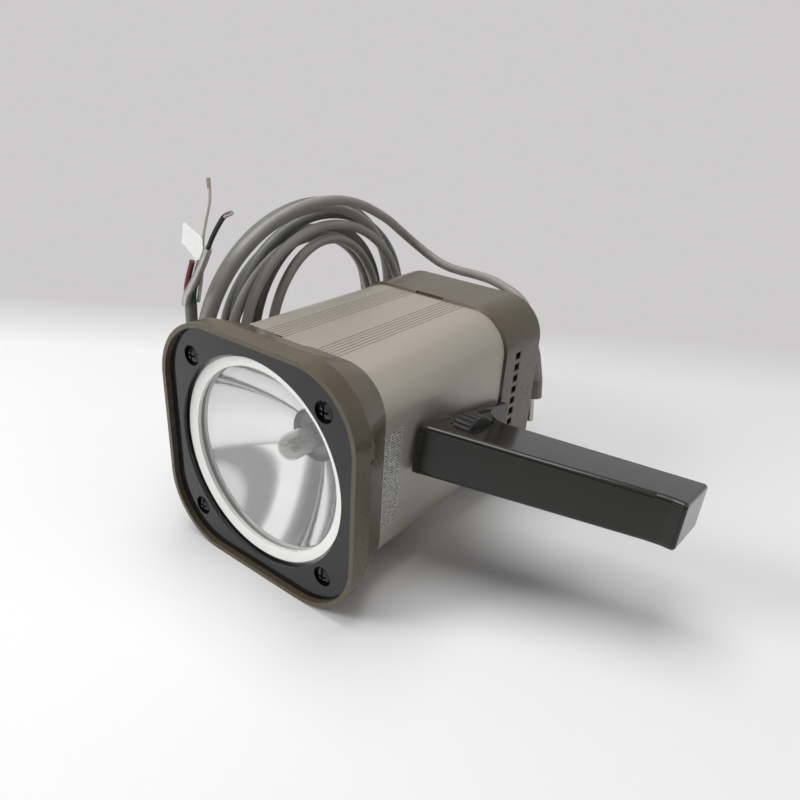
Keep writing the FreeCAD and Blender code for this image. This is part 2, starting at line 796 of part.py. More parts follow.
def lamp():
    back = S.lamp_socket_front + S.lamp_socket_depth
    outer = S.lamp_radius
    inner = outer - S.lamp_wall
    centre = S.lamp_front + outer
    about_lamp("lamp_envelope", (0, S.lamp_front),
               (outer * DIAGONAL, centre - outer * DIAGONAL, outer, centre),
               (outer, back), (inner, back), (inner, centre),
               (inner * DIAGONAL, centre - inner * DIAGONAL, 0, centre - inner))
    tube = Piece("flash_tube")
    bend_y = S.lamp_front + S.tube_bend_back
    leg = S.tube_leg_offset
    path = tube.sketch("XY_Plane", z=lamp_height)
    outline(path, (-leg, back), (-leg, bend_y), (0, bend_y - leg, leg, bend_y), (leg, back), closed=False)
    section = tube.sketch("XZ_Plane", y=back)
    circle(section, -leg, lamp_height, S.tube_radius)
    tube.pipe(path, section)
    base_back = S.lamp_socket_front + S.lamp_base_length
    gap = S.stud_gap
    about_lamp("lamp_base", (outer + gap, S.lamp_socket_front), (S.lamp_base_radius, S.lamp_socket_front),
               (S.lamp_base_radius, base_back), (0, base_back), (0, back), (outer + gap, back))
    pins = Piece("lamp_pins")
    for side in (-1, 1):
        pins.rod((side * S.pin_spacing / 2, base_back, lamp_height), "y", S.pin_length, S.pin_radius)
    bracket = Piece("lamp_bracket")
    shape = bracket.sketch("YZ_Plane", x=-S.bracket_width / 2)
    thick = S.sled_thickness
    outline(shape, (base_back + thick, sled_top), (base_back + thick, sled_top + S.bracket_height),
            (base_back, sled_top + S.bracket_height), (base_back, sled_top + thick),
            (base_back - S.bracket_foot, sled_top + thick), (base_back - S.bracket_foot, sled_top))
    bracket.pad(shape, S.bracket_width)
    bracket.rod((0, base_back - S.overrun, lamp_height), "y", thick + 2 * S.overrun, S.bracket_hole,
                "Subtractive")


def housing_extrusion():
    piece = Piece("housing_extrusion")
    outer = piece.sketch("XZ_Plane", y=S.bezel_depth)
    rounded(outer, -body_half, body_half, body_foot, body_top, body_corner)
    piece.pad(outer, S.body_length)
    wall = S.body_wall
    inner = piece.sketch("XZ_Plane", y=S.bezel_depth)
    rounded(inner, wall - body_half, body_half - wall, body_foot + wall, body_top - wall,
            body_corner - wall)
    piece.pocket(inner, S.body_length)
    four_channels(piece, S.bezel_depth, S.body_length, body_half, body_corner, wall)
    four_holes(piece, S.bezel_depth, S.body_length)
    span = S.rib_pitch * (S.rib_count - 1) + S.rib_groove
    levels = ((body_top - S.rib_depth, body_top + S.overrun),
              (body_foot - S.overrun, body_foot + S.rib_depth))
    for start in (-S.rib_inner - span, S.rib_inner):
        for low, high in levels:
            groove = piece.block((start, S.bezel_depth - S.overrun, low),
                                 (start + S.rib_groove, body_back + S.overrun, high), "Subtractive")
            piece.row(groove, "X_Axis", S.rib_pitch, S.rib_count)
    piece.rod((body_half - wall - S.overrun, swivel_y, swivel_height), "x", wall + 2 * S.overrun,
              S.bush_neck_radius, "Subtractive")


def rating_label():
    piece = Piece("rating_label")
    start = S.bezel_depth + S.label_from_bezel
    low = S.bezel_height * S.label_foot_share
    piece.block((body_half, start, low),
                (body_half + S.label_thickness, start + S.label_width,
                 low + S.bezel_height * S.label_height_share))


def rear_cover():
    piece = Piece("rear_cover")
    front = piece.sketch("XZ_Plane", y=body_back)
    rounded(front, -body_half, body_half, body_foot, body_top, body_corner)
    full = piece.sketch("XZ_Plane", y=body_back + S.collar)
    rounded(full, -cover_half, cover_half, cover_foot, cover_top, cover_corner)
    piece.loft([front, full])
    main = piece.sketch("XZ_Plane", y=body_back + S.collar)
    rounded(main, -cover_half, cover_half, cover_foot, cover_top, cover_corner)
    piece.pad(main, S.cover_length - S.collar)
    at_back = float(cover_back)
    tolerance = float(S.overrun) / 10
    piece.round_edges(lambda edge: edge.BoundBox.YMin > at_back - tolerance, S.cover_round)
    wall = S.cover_wall
    hollow = piece.sketch("XZ_Plane", y=body_back)
    rounded(hollow, wall - cover_half, cover_half - wall, cover_foot + wall, cover_top - wall,
            cover_corner - wall)
    piece.pocket(hollow, S.cover_length)
    pillar_length = panel_front - body_back
    four_channels(piece, body_back, pillar_length, cover_half, cover_corner, wall)
    four_holes(piece, body_back, pillar_length)
    vent_front = body_back + S.vent_from_front
    vent_pitch = S.bezel_height * S.vent_pitch_share
    lowest = lamp_height - vent_pitch * (S.vent_count - 1) / 2 - S.vent_height / 2
    for start, end in ((cover_half - S.vent_cut, cover_half + S.overrun),
                       (-cover_half - S.overrun, S.vent_cut - cover_half)):
        vent = piece.block((start, vent_front, lowest),
                           (end, vent_front + S.vent_width, lowest + S.vent_height), "Subtractive")
        piece.row(vent, "Z_Axis", vent_pitch, S.vent_count)
    piece.block((-S.notch_width / 2, body_back - S.overrun, cover_top - S.notch_height),
                (S.notch_width / 2, body_back + S.notch_depth, cover_top + S.overrun), "Subtractive")


def rear_feet():
    """Two pads that level the housing, from the floor to the cover's underside."""
    piece = Piece("rear_feet")
    for side in (-1, 1):
        piece.rod((side * S.rear_foot_spacing / 2, body_back + S.rear_foot_from_front, 0), "z", cover_foot,
                  S.rear_foot_radius)


def rear_panel():
    piece = Piece("rear_panel")
    inset = S.cover_wall + S.panel_gap
    sheet_face = piece.sketch("XZ_Plane", y=panel_front)
    rounded(sheet_face, inset - cover_half, cover_half - inset, cover_foot + inset, cover_top - inset,
            cover_corner - inset)
    piece.pad(sheet_face, S.panel_thickness)
    four_holes(piece, panel_front, S.panel_thickness)
    holes = ((dial_place, S.pot_bushing_radius), (toggle_place, S.toggle_bushing_radius),
             (fuse_place, S.fuse_radius), (power_gland_place, S.gland_neck_radius),
             (signal_gland_place, S.gland_neck_radius))
    through = S.panel_thickness + 2 * S.overrun
    for (x, z), radius in holes:
        piece.rod((x, panel_front - S.overrun, z), "y", through, radius, "Subtractive")
    x, z = rocker_place
    half_width = S.rocker_width / 2
    half_length = S.rocker_length / 2
    piece.block((x - half_width, panel_front - S.overrun, z - half_length),
                (x + half_width, panel_back + S.overrun, z + half_length), "Subtractive")


def chassis():
    sled = Piece("chassis_sled")
    half = S.sled_width / 2
    thick = S.sled_thickness
    start = S.bezel_depth + S.sled_from_bezel
    section = sled.sketch("XZ_Plane", y=start)
    rim = floor_inside + S.sled_flange
    outline(section, (-half, floor_inside), (half, floor_inside), (half, rim), (half - thick, rim),
            (half - thick, sled_top), (thick - half, sled_top), (thick - half, rim), (-half, rim))
    sled.pad(section, panel_front - S.sled_from_panel - start)

    core = Piece("transformer_core")
    core_front = S.bezel_depth + S.core_from_bezel
    core_back = core_front + S.core_depth
    core_half = S.core_width / 2
    limb = S.core_limb
    core.block((-core_half, core_front, sled_top), (core_half, core_back, sled_top + S.core_height))
    low = sled_top + limb
    high = sled_top + S.core_height - limb
    for left, right in ((limb - core_half, -limb), (limb, core_half - limb)):
        core.block((left, core_front - S.overrun, low), (right, core_back + S.overrun, high), "Subtractive")
    winding = Piece("transformer_winding")
    gap = S.winding_gap
    outer = core_half - limb - gap
    winding.block((-outer, core_front - S.winding_build, low + gap),
                  (outer, core_back + S.winding_build, high - gap))
    winding.block((-limb - gap, core_front - gap, low), (limb + gap, core_back + gap, high), "Subtractive")

    capacitors = Piece("storage_capacitors")
    for side in (-1, 1):
        foot = (side * S.capacitor_spacing / 2, S.bezel_depth + S.capacitor_from_bezel, sled_top)
        capacitors.rod(foot, "z", S.capacitor_height, S.capacitor_radius)


def board():
    start = S.bezel_depth + S.board_from_bezel
    end = panel_front - S.board_from_panel
    half = S.board_width / 2
    top = S.board_height + S.board_thickness
    piece = Piece("circuit_board")
    piece.block((-half, start, S.board_height), (half, end, top))
    standoffs = Piece("board_standoffs")
    for side in (-1, 1):
        for y in (start + S.standoff_inset, end - S.standoff_inset):
            standoffs.rod((side * S.standoff_spacing / 2, y, sled_top), "z", S.board_height - sled_top,
                          S.standoff_radius)
    trigger = Piece("trigger_coil")
    trigger.rod((half - S.trigger_inset, start + S.trigger_inset, top), "z", S.trigger_height,
                S.trigger_radius)
    components = Piece("board_components")
    size = S.component_size
    for number in range(SIZES["component_count"]):
        y = end - size - number * S.component_pitch
        components.block((size - half, y - size / 2, top),
                         (2 * size - half, y + size / 2, top + size * COMPONENT_HEIGHT_SHARE))
        components.rod((half - size, y, top), "z", size, size * COMPONENT_ROUND_SHARE)


def section_sketch(piece, out, width, height, shrink, flare=0):
    """A section of the grip, a distance out from its root."""
    share = out / S.grip_length
    middle = share * S.grip_rake - S.grip_setback
    sketch = piece.sketch("YZ_Plane", x=out)
    rounded(sketch, middle - width / 2 + shrink - flare, middle + width / 2 - shrink,
            shrink - height / 2, height / 2 - shrink, S.grip_corner - shrink * CORNER_LOSS_SHARE)
    return sketch


def grip_sections(piece, outs, shrink=0):
    sketches = []
    flare_start = S.grip_length - S.grip_flare_length
    for out in outs:
        share = out / S.grip_length
        width = S.grip_root_width + (S.grip_end_width - S.grip_root_width) * share
        height = S.grip_root_height + (S.grip_end_height - S.grip_root_height) * share
        past = max(0.0, (float(out) - float(flare_start)) / SIZES["grip_flare_length"])
        sketches.append(section_sketch(piece, out, width, height, shrink, S.grip_flare * past ** 2))
    return sketches


def grip_screw_places():
    places = []
    for out in (S.grip_screw_inner, S.grip_length - S.grip_screw_from_end):
        places.append((out, out / S.grip_length * S.grip_rake - S.grip_setback))
    return places


def grip_half(label, side):
    """One half shell: a raked, tapered bar with a gusset, hollow beyond the wheel's block."""
    piece = Piece(label)
    start = S.foot_thickness
    flare_start = S.grip_length - S.grip_flare_length
    flare_mid = S.grip_length - S.grip_flare_length / 2
    piece.loft(grip_sections(piece, [start, flare_start]))
    piece.loft(grip_sections(piece, [flare_start, flare_mid]))
    piece.loft(grip_sections(piece, [flare_mid, S.grip_length]))
    at_end = float(S.grip_length) - float(S.overrun) / 10
    piece.round_edges(lambda edge: edge.BoundBox.XMin > at_end, S.grip_end_round)
    gusset_half = S.grip_end_height / 2
    gusset = piece.sketch("XY_Plane", z=-gusset_half)
    outline(gusset, (start, 0), (start, S.gusset_start),
            (S.gusset_mid_out, S.gusset_mid_back, S.gusset_top, S.gusset_top_back), (S.gusset_top, 0))
    piece.pad(gusset, 2 * gusset_half)
    far = S.grip_root_width * 2
    level = (-S.grip_root_height, 0) if side > 0 else (0, S.grip_root_height)
    piece.block((start - S.overrun, -far, level[0]), (S.grip_length + S.overrun, far, level[1]),
                "Subtractive")
    hollow = [S.grip_root_block, S.grip_length - S.grip_flare_length, S.grip_length - S.grip_wall]
    piece.loft(grip_sections(piece, hollow, S.grip_wall), "Subtractive")
    boss_half = S.grip_end_height / 2 - S.grip_wall / 2
    for out, back in grip_screw_places():
        low = 0 if side > 0 else -boss_half
        piece.rod((out, back, low), "z", boss_half, S.grip_boss_radius)
    radius = S.grip_screw_radius + S.screw_gap
    for out, back in grip_screw_places():
        piece.rod((out, back, -S.grip_root_height), "z",
                  S.grip_root_height + S.grip_screw_reach + S.screw_gap, radius, "Subtractive")
        if side < 0:
            piece.rod((out, back, -S.grip_root_height), "z",
                      S.grip_root_height - boss_half + S.grip_screw_sink,
                      S.grip_screw_head + S.wheel_gap, "Subtractive")
    piece.rod((S.wheel_out - S.wheel_gap, 0, 0), "x", S.wheel_width + 2 * S.wheel_gap,
              S.wheel_radius + S.wheel_gap, "Subtractive")
    piece.rod((0, 0, 0), "x", S.wheel_out + S.wheel_width + S.stud_outer + S.wheel_gap,
              S.stud_radius + S.stud_gap, "Subtractive")
    return piece


def grip_foot():
    piece = Piece("grip_foot")
    half = S.grip_root_height / 2
    plate = piece.sketch("YZ_Plane")
    rounded(plate, -S.grip_setback - S.grip_root_width / 2, S.foot_reach, -half, half, S.grip_corner)
    piece.pad(plate, S.foot_thickness)
    piece.rod((-S.overrun, 0, 0), "x", S.foot_thickness + 2 * S.overrun, S.stud_radius + S.stud_gap,
              "Subtractive")
    return piece


def grip_screws():
    piece = Piece("grip_screws")
    seat = S.grip_wall / 2 - S.grip_end_height / 2 + S.grip_screw_sink
    for out, back in grip_screw_places():
        piece.rod((out, back, seat - S.screw_head_height), "z", S.screw_head_height, S.grip_screw_head)
        piece.rod((out, back, seat), "z", S.grip_screw_reach - seat, S.grip_screw_radius)
        half = S.screw_cross_width / 2
        piece.block((out - S.grip_screw_head, back - half, seat - S.screw_head_height - S.overrun),
                    (out + S.grip_screw_head, back + half, seat - S.screw_head_height / 2), "Subtractive")
    return piece


def thumbwheel():
    wheel = Piece("thumbwheel")
    profile = wheel.sketch("XY_Plane")
    radius = S.wheel_radius
    cut = S.wheel_chamfer
    inner = S.wheel_out
    outer = S.wheel_out + S.wheel_width
    outline(profile, (inner, S.stud_radius), (outer, S.stud_radius), (outer, radius - cut),
            (outer - cut, radius), (inner + cut, radius), (inner, radius - cut))
    wheel.turn(profile, "H_Axis")
    groove = wheel.rod((inner - S.overrun, 0, radius + S.knurl_radius * KNURL_SINK_SHARE), "x",
                       S.wheel_width + 2 * S.overrun, S.knurl_radius, "Subtractive")
    wheel.ring([groove], profile, "H_Axis", S.knurl_count)
    stud = Piece("thumbwheel_stud")
    stud.rod((-S.stud_inner, 0, 0), "x", S.stud_inner + outer + S.stud_outer, S.stud_radius)
    return [wheel, stud]


def place_on_swivel(pieces):
    """Turn the grip's pieces about the swivel and set them against the housing."""
    for piece in pieces:
        piece.body.Placement = FreeCAD.Placement(vector(0, 0, 0), FreeCAD.Rotation(vector(1, 0, 0), 0))
        bind(piece.body, "Placement.Rotation.Angle", S.swivel_tilt)
        bind(piece.body, "Placement.Base.x", grip_root)
        bind(piece.body, "Placement.Base.y", swivel_y)
        bind(piece.body, "Placement.Base.z", swivel_height)


def grip_bush():
    inner = body_half - S.body_wall
    bore = S.stud_radius + S.stud_gap
    bush = Piece("grip_bush")
    profile = bush.sketch("XY_Plane", y=swivel_y, z=swivel_height)
    outer = grip_root - S.bush_gap
    outline(profile, (outer - S.bush_length, bore), (outer, bore), (outer, S.bush_flange_radius),
            (body_half, S.bush_flange_radius), (body_half, S.bush_neck_radius),
            (outer - S.bush_length, S.bush_neck_radius))
    bush.turn(profile, "H_Axis")
    nut = Piece("bush_nut")
    side = nut.sketch("YZ_Plane", x=inner - S.nut_thickness, y=swivel_y, z=swivel_height)
    hexagon(side, S.nut_radius)
    circle(side, 0, 0, S.bush_neck_radius)
    nut.pad(side, S.nut_thickness)


def hexagon(sketch, radius):
    corners = []
    for number in range(HEX):
        angle = 2 * math.pi * number / HEX
        corners.append((radius * math.cos(angle), radius * math.sin(angle)))
    outline(sketch, *corners)


def turned_on_panel(label, x, z, *corners, on_cord=False):
    """A piece turned about an axis square to the panel; corners are radius and place along it."""
    piece = Piece(label, on_cord)
    profile = piece.sketch("XY_Plane", x=x, z=z)
    outline(profile, *corners)
    piece.turn(profile)
    return piece


def rate_dial():
    x, z = dial_place
    bore = S.shaft_radius + S.shaft_gap
    body_front = panel_front - S.pot_length
    nut_back = panel_back + S.pot_nut_thickness
    bushing_back = panel_back + S.pot_bushing_length
    turned_on_panel("dial_potentiometer", x, z, (bore, body_front), (S.pot_radius, body_front),
                    (S.pot_radius, panel_front), (S.pot_bushing_radius, panel_front),
                    (S.pot_bushing_radius, bushing_back), (bore, bushing_back))
    nut = Piece("dial_nut")
    face = nut.sketch("XZ_Plane", x=x, y=panel_back, z=z)
    hexagon(face, S.pot_nut_radius)
    circle(face, 0, 0, S.pot_bushing_radius)
    nut.pad(face, S.pot_nut_thickness)
    knob_front = nut_back + S.dial_gap - S.dial_recess_depth / 2
    knob_back = knob_front + S.dial_length
    recess_back = bushing_back + S.dial_gap
    radius = S.dial_radius
    edge = S.wheel_chamfer
    knob = turned_on_panel("rate_dial", x, z, (S.dial_recess_radius, nut_back + S.dial_gap),
                           (radius, nut_back + S.dial_gap), (radius - edge, knob_back - edge),
                           (radius - 2 * edge, knob_back), (0, knob_back),
                           (0, knob_back - S.dial_recess_depth),
                           (S.shaft_radius, knob_back - S.dial_recess_depth),
                           (S.shaft_radius, recess_back), (S.dial_recess_radius, recess_back))
    groove = knob.rod((x, nut_back, z + radius + S.dial_grip_radius * KNURL_SINK_SHARE), "y", S.dial_length,
                      S.dial_grip_radius, "Subtractive")
    centre = knob.sketch("XZ_Plane", x=x, z=z)
    knob.ring([groove], centre, "N_Axis", S.dial_grip_count)
    half = S.dial_pointer_width / 2
    knob.block((x - half, knob_back - S.dial_pointer_depth, z + S.shaft_radius),
               (x + half, knob_back + S.overrun, z + radius), "Subtractive")
    shaft = Piece("dial_shaft")
    shaft.rod((x, panel_front - S.shaft_sunk, z), "y",
              knob_back - S.dial_recess_depth - panel_front + S.shaft_sunk, S.shaft_radius)


def power_rocker():
    x, z = rocker_place
    half_width = S.rocker_width / 2
    half_length = S.rocker_length / 2
    rim = S.rocker_frame_rim
    frame = Piece("rocker_frame")
    frame.block((x - half_width, panel_front - S.rocker_body_depth, z - half_length),
                (x + half_width, panel_back, z + half_length))
    frame.block((x - half_width - rim, panel_back, z - half_length - rim),
                (x + half_width + rim, panel_back + S.rocker_frame_lip, z + half_length + rim))
    frame.block((x - half_width + rim, panel_back - S.rocker_sunk - S.rocker_rise, z - half_length + rim),
                (x + half_width - rim, panel_back + 2 * S.rocker_frame_lip, z + half_length - rim),
                "Subtractive")
    bore = S.rocker_pin_radius + S.shaft_gap
    frame.rod((x - half_width, panel_back - S.rocker_pin_radius - S.rocker_frame_lip, z), "x",
              S.rocker_width, bore, "Subtractive")
    rocker = Piece("power_rocker")
    gap = S.rocker_gap
    wide = half_width - rim - gap
    tall = half_length - rim - 2 * gap
    side = rocker.sketch("YZ_Plane", x=x - wide)
    base = panel_back - S.rocker_sunk / 2
    top = panel_back + S.rocker_rise
    dip = top - S.rocker_rise * ROCKER_DIP_SHARE
    outline(side, (base, z - tall / 2), (base, z + tall / 2), (panel_back, z + tall), (top, z + tall),
            (dip, z, top, z - tall), (panel_back, z - tall))
    rocker.pad(side, 2 * wide)
    rocker.rod((x - half_width + gap, panel_back - S.rocker_pin_radius - S.rocker_frame_lip, z), "x",
               S.rocker_width - 2 * gap, S.rocker_pin_radius)


def mode_toggle():
    x, z = toggle_place
    half = S.toggle_body_size / 2
    pivot = panel_back
    ball = S.toggle_ball_radius
    bore = ball + S.shaft_gap
    back = panel_back + S.toggle_bushing_length
    switch = Piece("toggle_switch")
    switch.block((x - half, panel_front - S.toggle_body_depth, z - half), (x + half, panel_front, z + half))
    profile = switch.sketch("XY_Plane", x=x, z=z)
    outline(profile, (0, panel_front), (S.toggle_bushing_radius, panel_front),
            (S.toggle_bushing_radius, back), (0, back))
    switch.turn(profile)
    mouth = switch.sketch("XY_Plane", x=x, z=z)
    outline(mouth, (0, pivot - 2 * ball), (bore, pivot - 2 * ball), (bore, back + S.overrun),
            (0, back + S.overrun))
    groove = switch.body.newObject("PartDesign::Groove", "mouth")
    groove.Profile = mouth
    groove.ReferenceAxis = (mouth, ["V_Axis"])
    bored = S.toggle_pin_length / 2 + S.toggle_pin_gap
    switch.rod((x - bored, pivot, z), "x", 2 * bored, S.toggle_pin_radius + S.shaft_gap, "Subtractive")
    nut = Piece("toggle_nut")
    face = nut.sketch("XZ_Plane", x=x, y=panel_back, z=z)
    hexagon(face, S.toggle_nut_radius)
    circle(face, 0, 0, S.toggle_bushing_radius)
    nut.pad(face, S.toggle_nut_thickness)
    thin = S.toggle_radius / 2
    tip = back + S.toggle_length
    neck = pivot + ball * TOGGLE_NECK_SHARE
    round_tip = S.toggle_tip_radius
    lever = Piece("toggle_lever")
    profile = lever.sketch("YZ_Plane", x=x, z=z)
    outline(profile, (pivot - ball, 0), (pivot, ball, neck, thin), (back, thin),
            (tip - round_tip, round_tip), (tip - round_tip * (1 - DIAGONAL), round_tip * DIAGONAL, tip, 0))
    lever.turn(profile, "H_Axis")
    lever.rod((x - S.toggle_pin_length / 2, pivot, z), "x", S.toggle_pin_length, S.toggle_pin_radius)


def fuse_holder():
    x, z = fuse_place
    front = panel_front - S.fuse_depth
    cap_back = panel_back + S.fuse_cap_length
    turned_on_panel("fuse_holder", x, z, (0, front), (S.fuse_radius, front), (S.fuse_radius, panel_back),
                    (S.fuse_cap_radius, panel_back), (S.fuse_cap_radius * FUSE_CAP_SHARE, cap_back),
                    (0, cap_back))


def gland(label, place, cord_radius):
    """A gland through the panel with a strain relief that tapers down to the cord."""
    x, z = place
    inner = panel_front - S.gland_inner
    flange_back = panel_back + S.gland_flange
    tip_back = panel_back + S.gland_length
    neck = S.gland_neck_radius
    flange = S.gland_flange_radius
    turned_on_panel(label, x, z, (0, inner), (neck, inner), (neck, panel_back), (flange, panel_back),
                    (flange, flange_back), (neck, flange_back),
                    (cord_radius + S.gland_tip_wall, tip_back), (0, tip_back))


def plug_placement():
    """The plug's frame: its face at the origin, its pins along local -Z, its wide side along local Y."""
    turn = FreeCAD.Rotation(vector(0, 0, 1), SIZES["plug_turn"])
    lean = FreeCAD.Rotation(vector(0, 1, 0), -SIZES["plug_lean"])
    return FreeCAD.Placement(vector(S.plug_x, S.plug_y, S.plug_z), turn.multiply(lean))


def power_plug():
    plug = Piece("power_plug", on_cord=True)
    thick = S.plug_thickness / 2
    face = plug.sketch("XY_Plane")
    rounded(face, -thick, thick, -S.plug_width / 2, S.plug_width / 2, S.plug_corner)
    waist = plug.sketch("XY_Plane", z=S.plug_length / 2)
    rounded(waist, -thick, thick, -S.plug_width / 2, S.plug_width / 2, S.plug_corner)
    top = plug.sketch("XY_Plane", z=S.plug_length)
    narrow = S.plug_boot_radius
    rounded(top, -narrow, narrow, -narrow, narrow, S.plug_corner)
    plug.loft([face, waist])
    plug.loft([waist, top])
    boot = plug.sketch("XZ_Plane")
    outline(boot, (0, S.plug_length), (narrow, S.plug_length),
            (S.power_cord_radius + S.gland_tip_wall / 2, S.plug_length + S.plug_boot_length),
            (0, S.plug_length + S.plug_boot_length))
    plug.turn(boot)
    pins = Piece("plug_pins", on_cord=True)
    for side in (-1, 1):
        profile = pins.sketch("XZ_Plane", y=side * S.plug_pin_spacing / 2)
        radius = S.plug_pin_radius
        tip = -S.plug_pin_length
        outline(profile, (0, 0), (radius, 0), (radius, tip + radius),
                (radius * DIAGONAL, tip + radius * (1 - DIAGONAL), 0, tip))
        pins.turn(profile)
    for piece in (plug, pins):
        piece.body.Placement = plug_placement()


# A coil: turns that spiral in and out again in two layers, standing on edge beside the housing.
# Its four extents are those of the outermost turn, with the steps that each turn draws them in by.
COILS = {"power": "power_cord_coil", "signal": "signal_cord_coil"}


def cord_radius(coil):
    return SIZES[coil + "_cord_radius"]


def coil_turns(coil):
    return SIZES[coil + "_coil_quarters"] / 4


def coil_point(coil, turn):
    """A point of the coil, a number of turns after its start."""
    sizes = {name[len(coil) + 6:]: size for name, size in SIZES.items() if name.startswith(coil + "_coil_")}
    half = coil_turns(coil) / 2
    drawn_in = half - abs(turn - half)
    climbed = min(1.0, max(0.0, (turn - half) * 2 + 0.5))
    smooth = climbed * climbed * (3 - 2 * climbed)
    x = sizes["first_layer"] + (sizes["last_layer"] - sizes["first_layer"]) * smooth
    front, rear, top = (sizes[side] + sizes[side + "_step"] * drawn_in for side in ("front", "rear", "top"))
    bottom = cord_radius(coil) + sizes["bottom_step"] * drawn_in
    angle = math.radians(sizes["first_degrees"]) - 2 * math.pi * turn
    y = (front + rear) / 2 + (rear - front) / 2 * math.cos(angle)
    z = (bottom + top) / 2 + (top - bottom) / 2 * math.sin(angle)
    return vector(x, y, z)


def coil_heading(coil, turn):
    step = 1 / 200
    heading = coil_point(coil, turn + step) - coil_point(coil, turn - step)
    return heading.normalize()


def arc_between(start, heading, end):
    """The arc from a point along a heading to another point."""
    chord = end - start
    along = vector(*chord).normalize()
    cosine = max(-1.0, min(1.0, heading.dot(along)))
    half_sweep = math.acos(cosine)
    if half_sweep < math.radians(0.05):
        return Part.LineSegment(start, end)
    bulge = (heading - along * cosine).normalize()
    middle = start + chord * 0.5 + bulge * (chord.Length / 2 * math.tan(half_sweep / 2))
    return Part.Arc(start, middle, end)


def biarc(start, start_heading, end, end_heading):
    """Two arcs that leave and arrive along the given headings."""
    gap = end - start
    both = start_heading + end_heading
    turn = 2 * (1 - start_heading.dot(end_heading))
    if turn < 1e-9:
        reach = gap.dot(gap) / (4 * gap.dot(end_heading))
    else:
        reach = (-gap.dot(both) + math.sqrt(gap.dot(both) ** 2 + turn * gap.dot(gap))) / turn
    middle = (start + end + (start_heading - end_heading) * reach) * 0.5
    return [arc_between(start, start_heading, middle), arc_between(end, end_heading * -1, middle)]


def coil_path(coil):
    """The straight start, the biarcs of each quarter turn and the straight end."""
    straight = 2 * cord_radius(coil)
    quarters = SIZES[coil + "_coil_quarters"]
    turns = [quarter / 4 for quarter in range(quarters + 1)]
    points = [coil_point(coil, turn) for turn in turns]
    headings = [coil_heading(coil, turn) for turn in turns]
    path = [Part.LineSegment(points[0] - headings[0] * straight, points[0])]
    for number in range(quarters):
        path += biarc(points[number], headings[number], points[number + 1], headings[number + 1])
    path.append(Part.LineSegment(points[-1], points[-1] + headings[-1] * straight))
    return path


def coil_end(coil, last, run=0):
    """Where the cord goes on from the coil's start or end, and a run further along."""
    turn = coil_turns(coil) if last else 0
    way = 1 if last else -1
    heading = coil_heading(coil, turn) * way
    return coil_point(coil, turn) + heading * (2 * cord_radius(coil) + run)


def routed_path(points, label):
    """Straight runs joined by arcs as large as the runs allow."""
    path = []
    here = points[0]
    radii = []
    for before, corner, after in zip(points, points[1:], points[2:]):
        arriving = (corner - before).normalize()
        leaving = (after - corner).normalize()
        turn = arriving.getAngle(leaving)
        shorter = min(before.distanceToPoint(corner), corner.distanceToPoint(after))
        cut = ROUTE_CUT_SHARE * shorter
        radii.append(cut / math.tan(turn / 2))
        start = corner - arriving * cut
        end = corner + leaving * cut
        inward = (leaving - arriving).normalize()
        middle = corner + inward * (radii[-1] * (1 / math.cos(turn / 2) - 1))
        path.append(Part.LineSegment(here, start))
        path.append(Part.Arc(start, middle, end))
        here = end
    path.append(Part.LineSegment(here, points[-1]))
    print(label, "radii", [round(radius, 1) for radius in radii])
    return path


def tube(label, path, radius):
    """A round tube along a path, as one closed solid."""
    edges = [piece.toShape() for piece in path]
    wire = Part.Wire(edges)
    start = wire.OrderedVertexes[0].Point
    heading = wire.OrderedEdges[0].tangentAt(wire.OrderedEdges[0].FirstParameter)
    section = Part.Wire([Part.makeCircle(radius, start, heading)])
    shell = Part.BRepOffsetAPI.MakePipeShell(wire)
    shell.add(section)
    shell.build()
    shell.makeSolid()
    feature = doc.addObject("Part::Feature", label)
    feature.Label = label
    feature.Shape = shell.shape()
    PIECES.append(feature)
    CORD_PIECES.append(feature)
    expected = math.pi * radius ** 2 * wire.Length
    print(label, "length", round(wire.Length), "volume share", round(feature.Shape.Volume / expected, 4))
    return wire


def least_gap(wire, diameter):
    """The least gap of a wound tube to itself, measured on points along it."""
    points = wire.discretize(Number=700)
    step = wire.Length / (len(points) - 1)
    apart = int(4 * diameter / step) + 1
    least = min((points[one] - points[other]).Length
                for one in range(len(points)) for other in range(one + apart, len(points)))
    return round(least - diameter, 2)


def points_of(*places):
    return [vector(*place) for place in places]


def cords():
    for coil, name in COILS.items():
        wire = tube(name, coil_path(coil), cord_radius(coil))
        print(name, "least gap to itself", least_gap(wire, 2 * cord_radius(coil)))
    entry = SIZES["coil_entry_run"]
    tip_back = panel_back + S.gland_length
    x, z = power_gland_place
    lead = [vector(x, tip_back, z)]
    lead += points_of(*POWER_LEAD_POINTS)
    lead += [coil_end("power", False, entry), coil_end("power", False)]
    tube("power_cord_lead", routed_path(lead, "power_cord_lead"), cord_radius("power"))
    tail = [coil_end("power", True), coil_end("power", True, SIZES["coil_exit_run"])]
    tail += points_of(*POWER_TAIL_POINTS)
    mouth = S.plug_length + S.plug_boot_length
    tail += [plug_placement().multVec(vector(0, 0, mouth + S.plug_entry_run)),
             plug_placement().multVec(vector(0, 0, mouth))]
    tube("power_cord_tail", routed_path(tail, "power_cord_tail"), cord_radius("power"))
    x, z = signal_gland_place
    signal = [vector(x, tip_back, z)]
    signal += points_of(*SIGNAL_LEAD_POINTS)
    signal += [coil_end("signal", False, entry), coil_end("signal", False)]
    tube("signal_cord_lead", routed_path(signal, "signal_cord_lead"), cord_radius("signal"))
    end = [coil_end("signal", True), coil_end("signal", True, SIZES["coil_exit_run"])]
    end += points_of(*SIGNAL_END_POINTS)
    tube("signal_cord_end", routed_path(end, "signal_cord_end"), cord_radius("signal"))


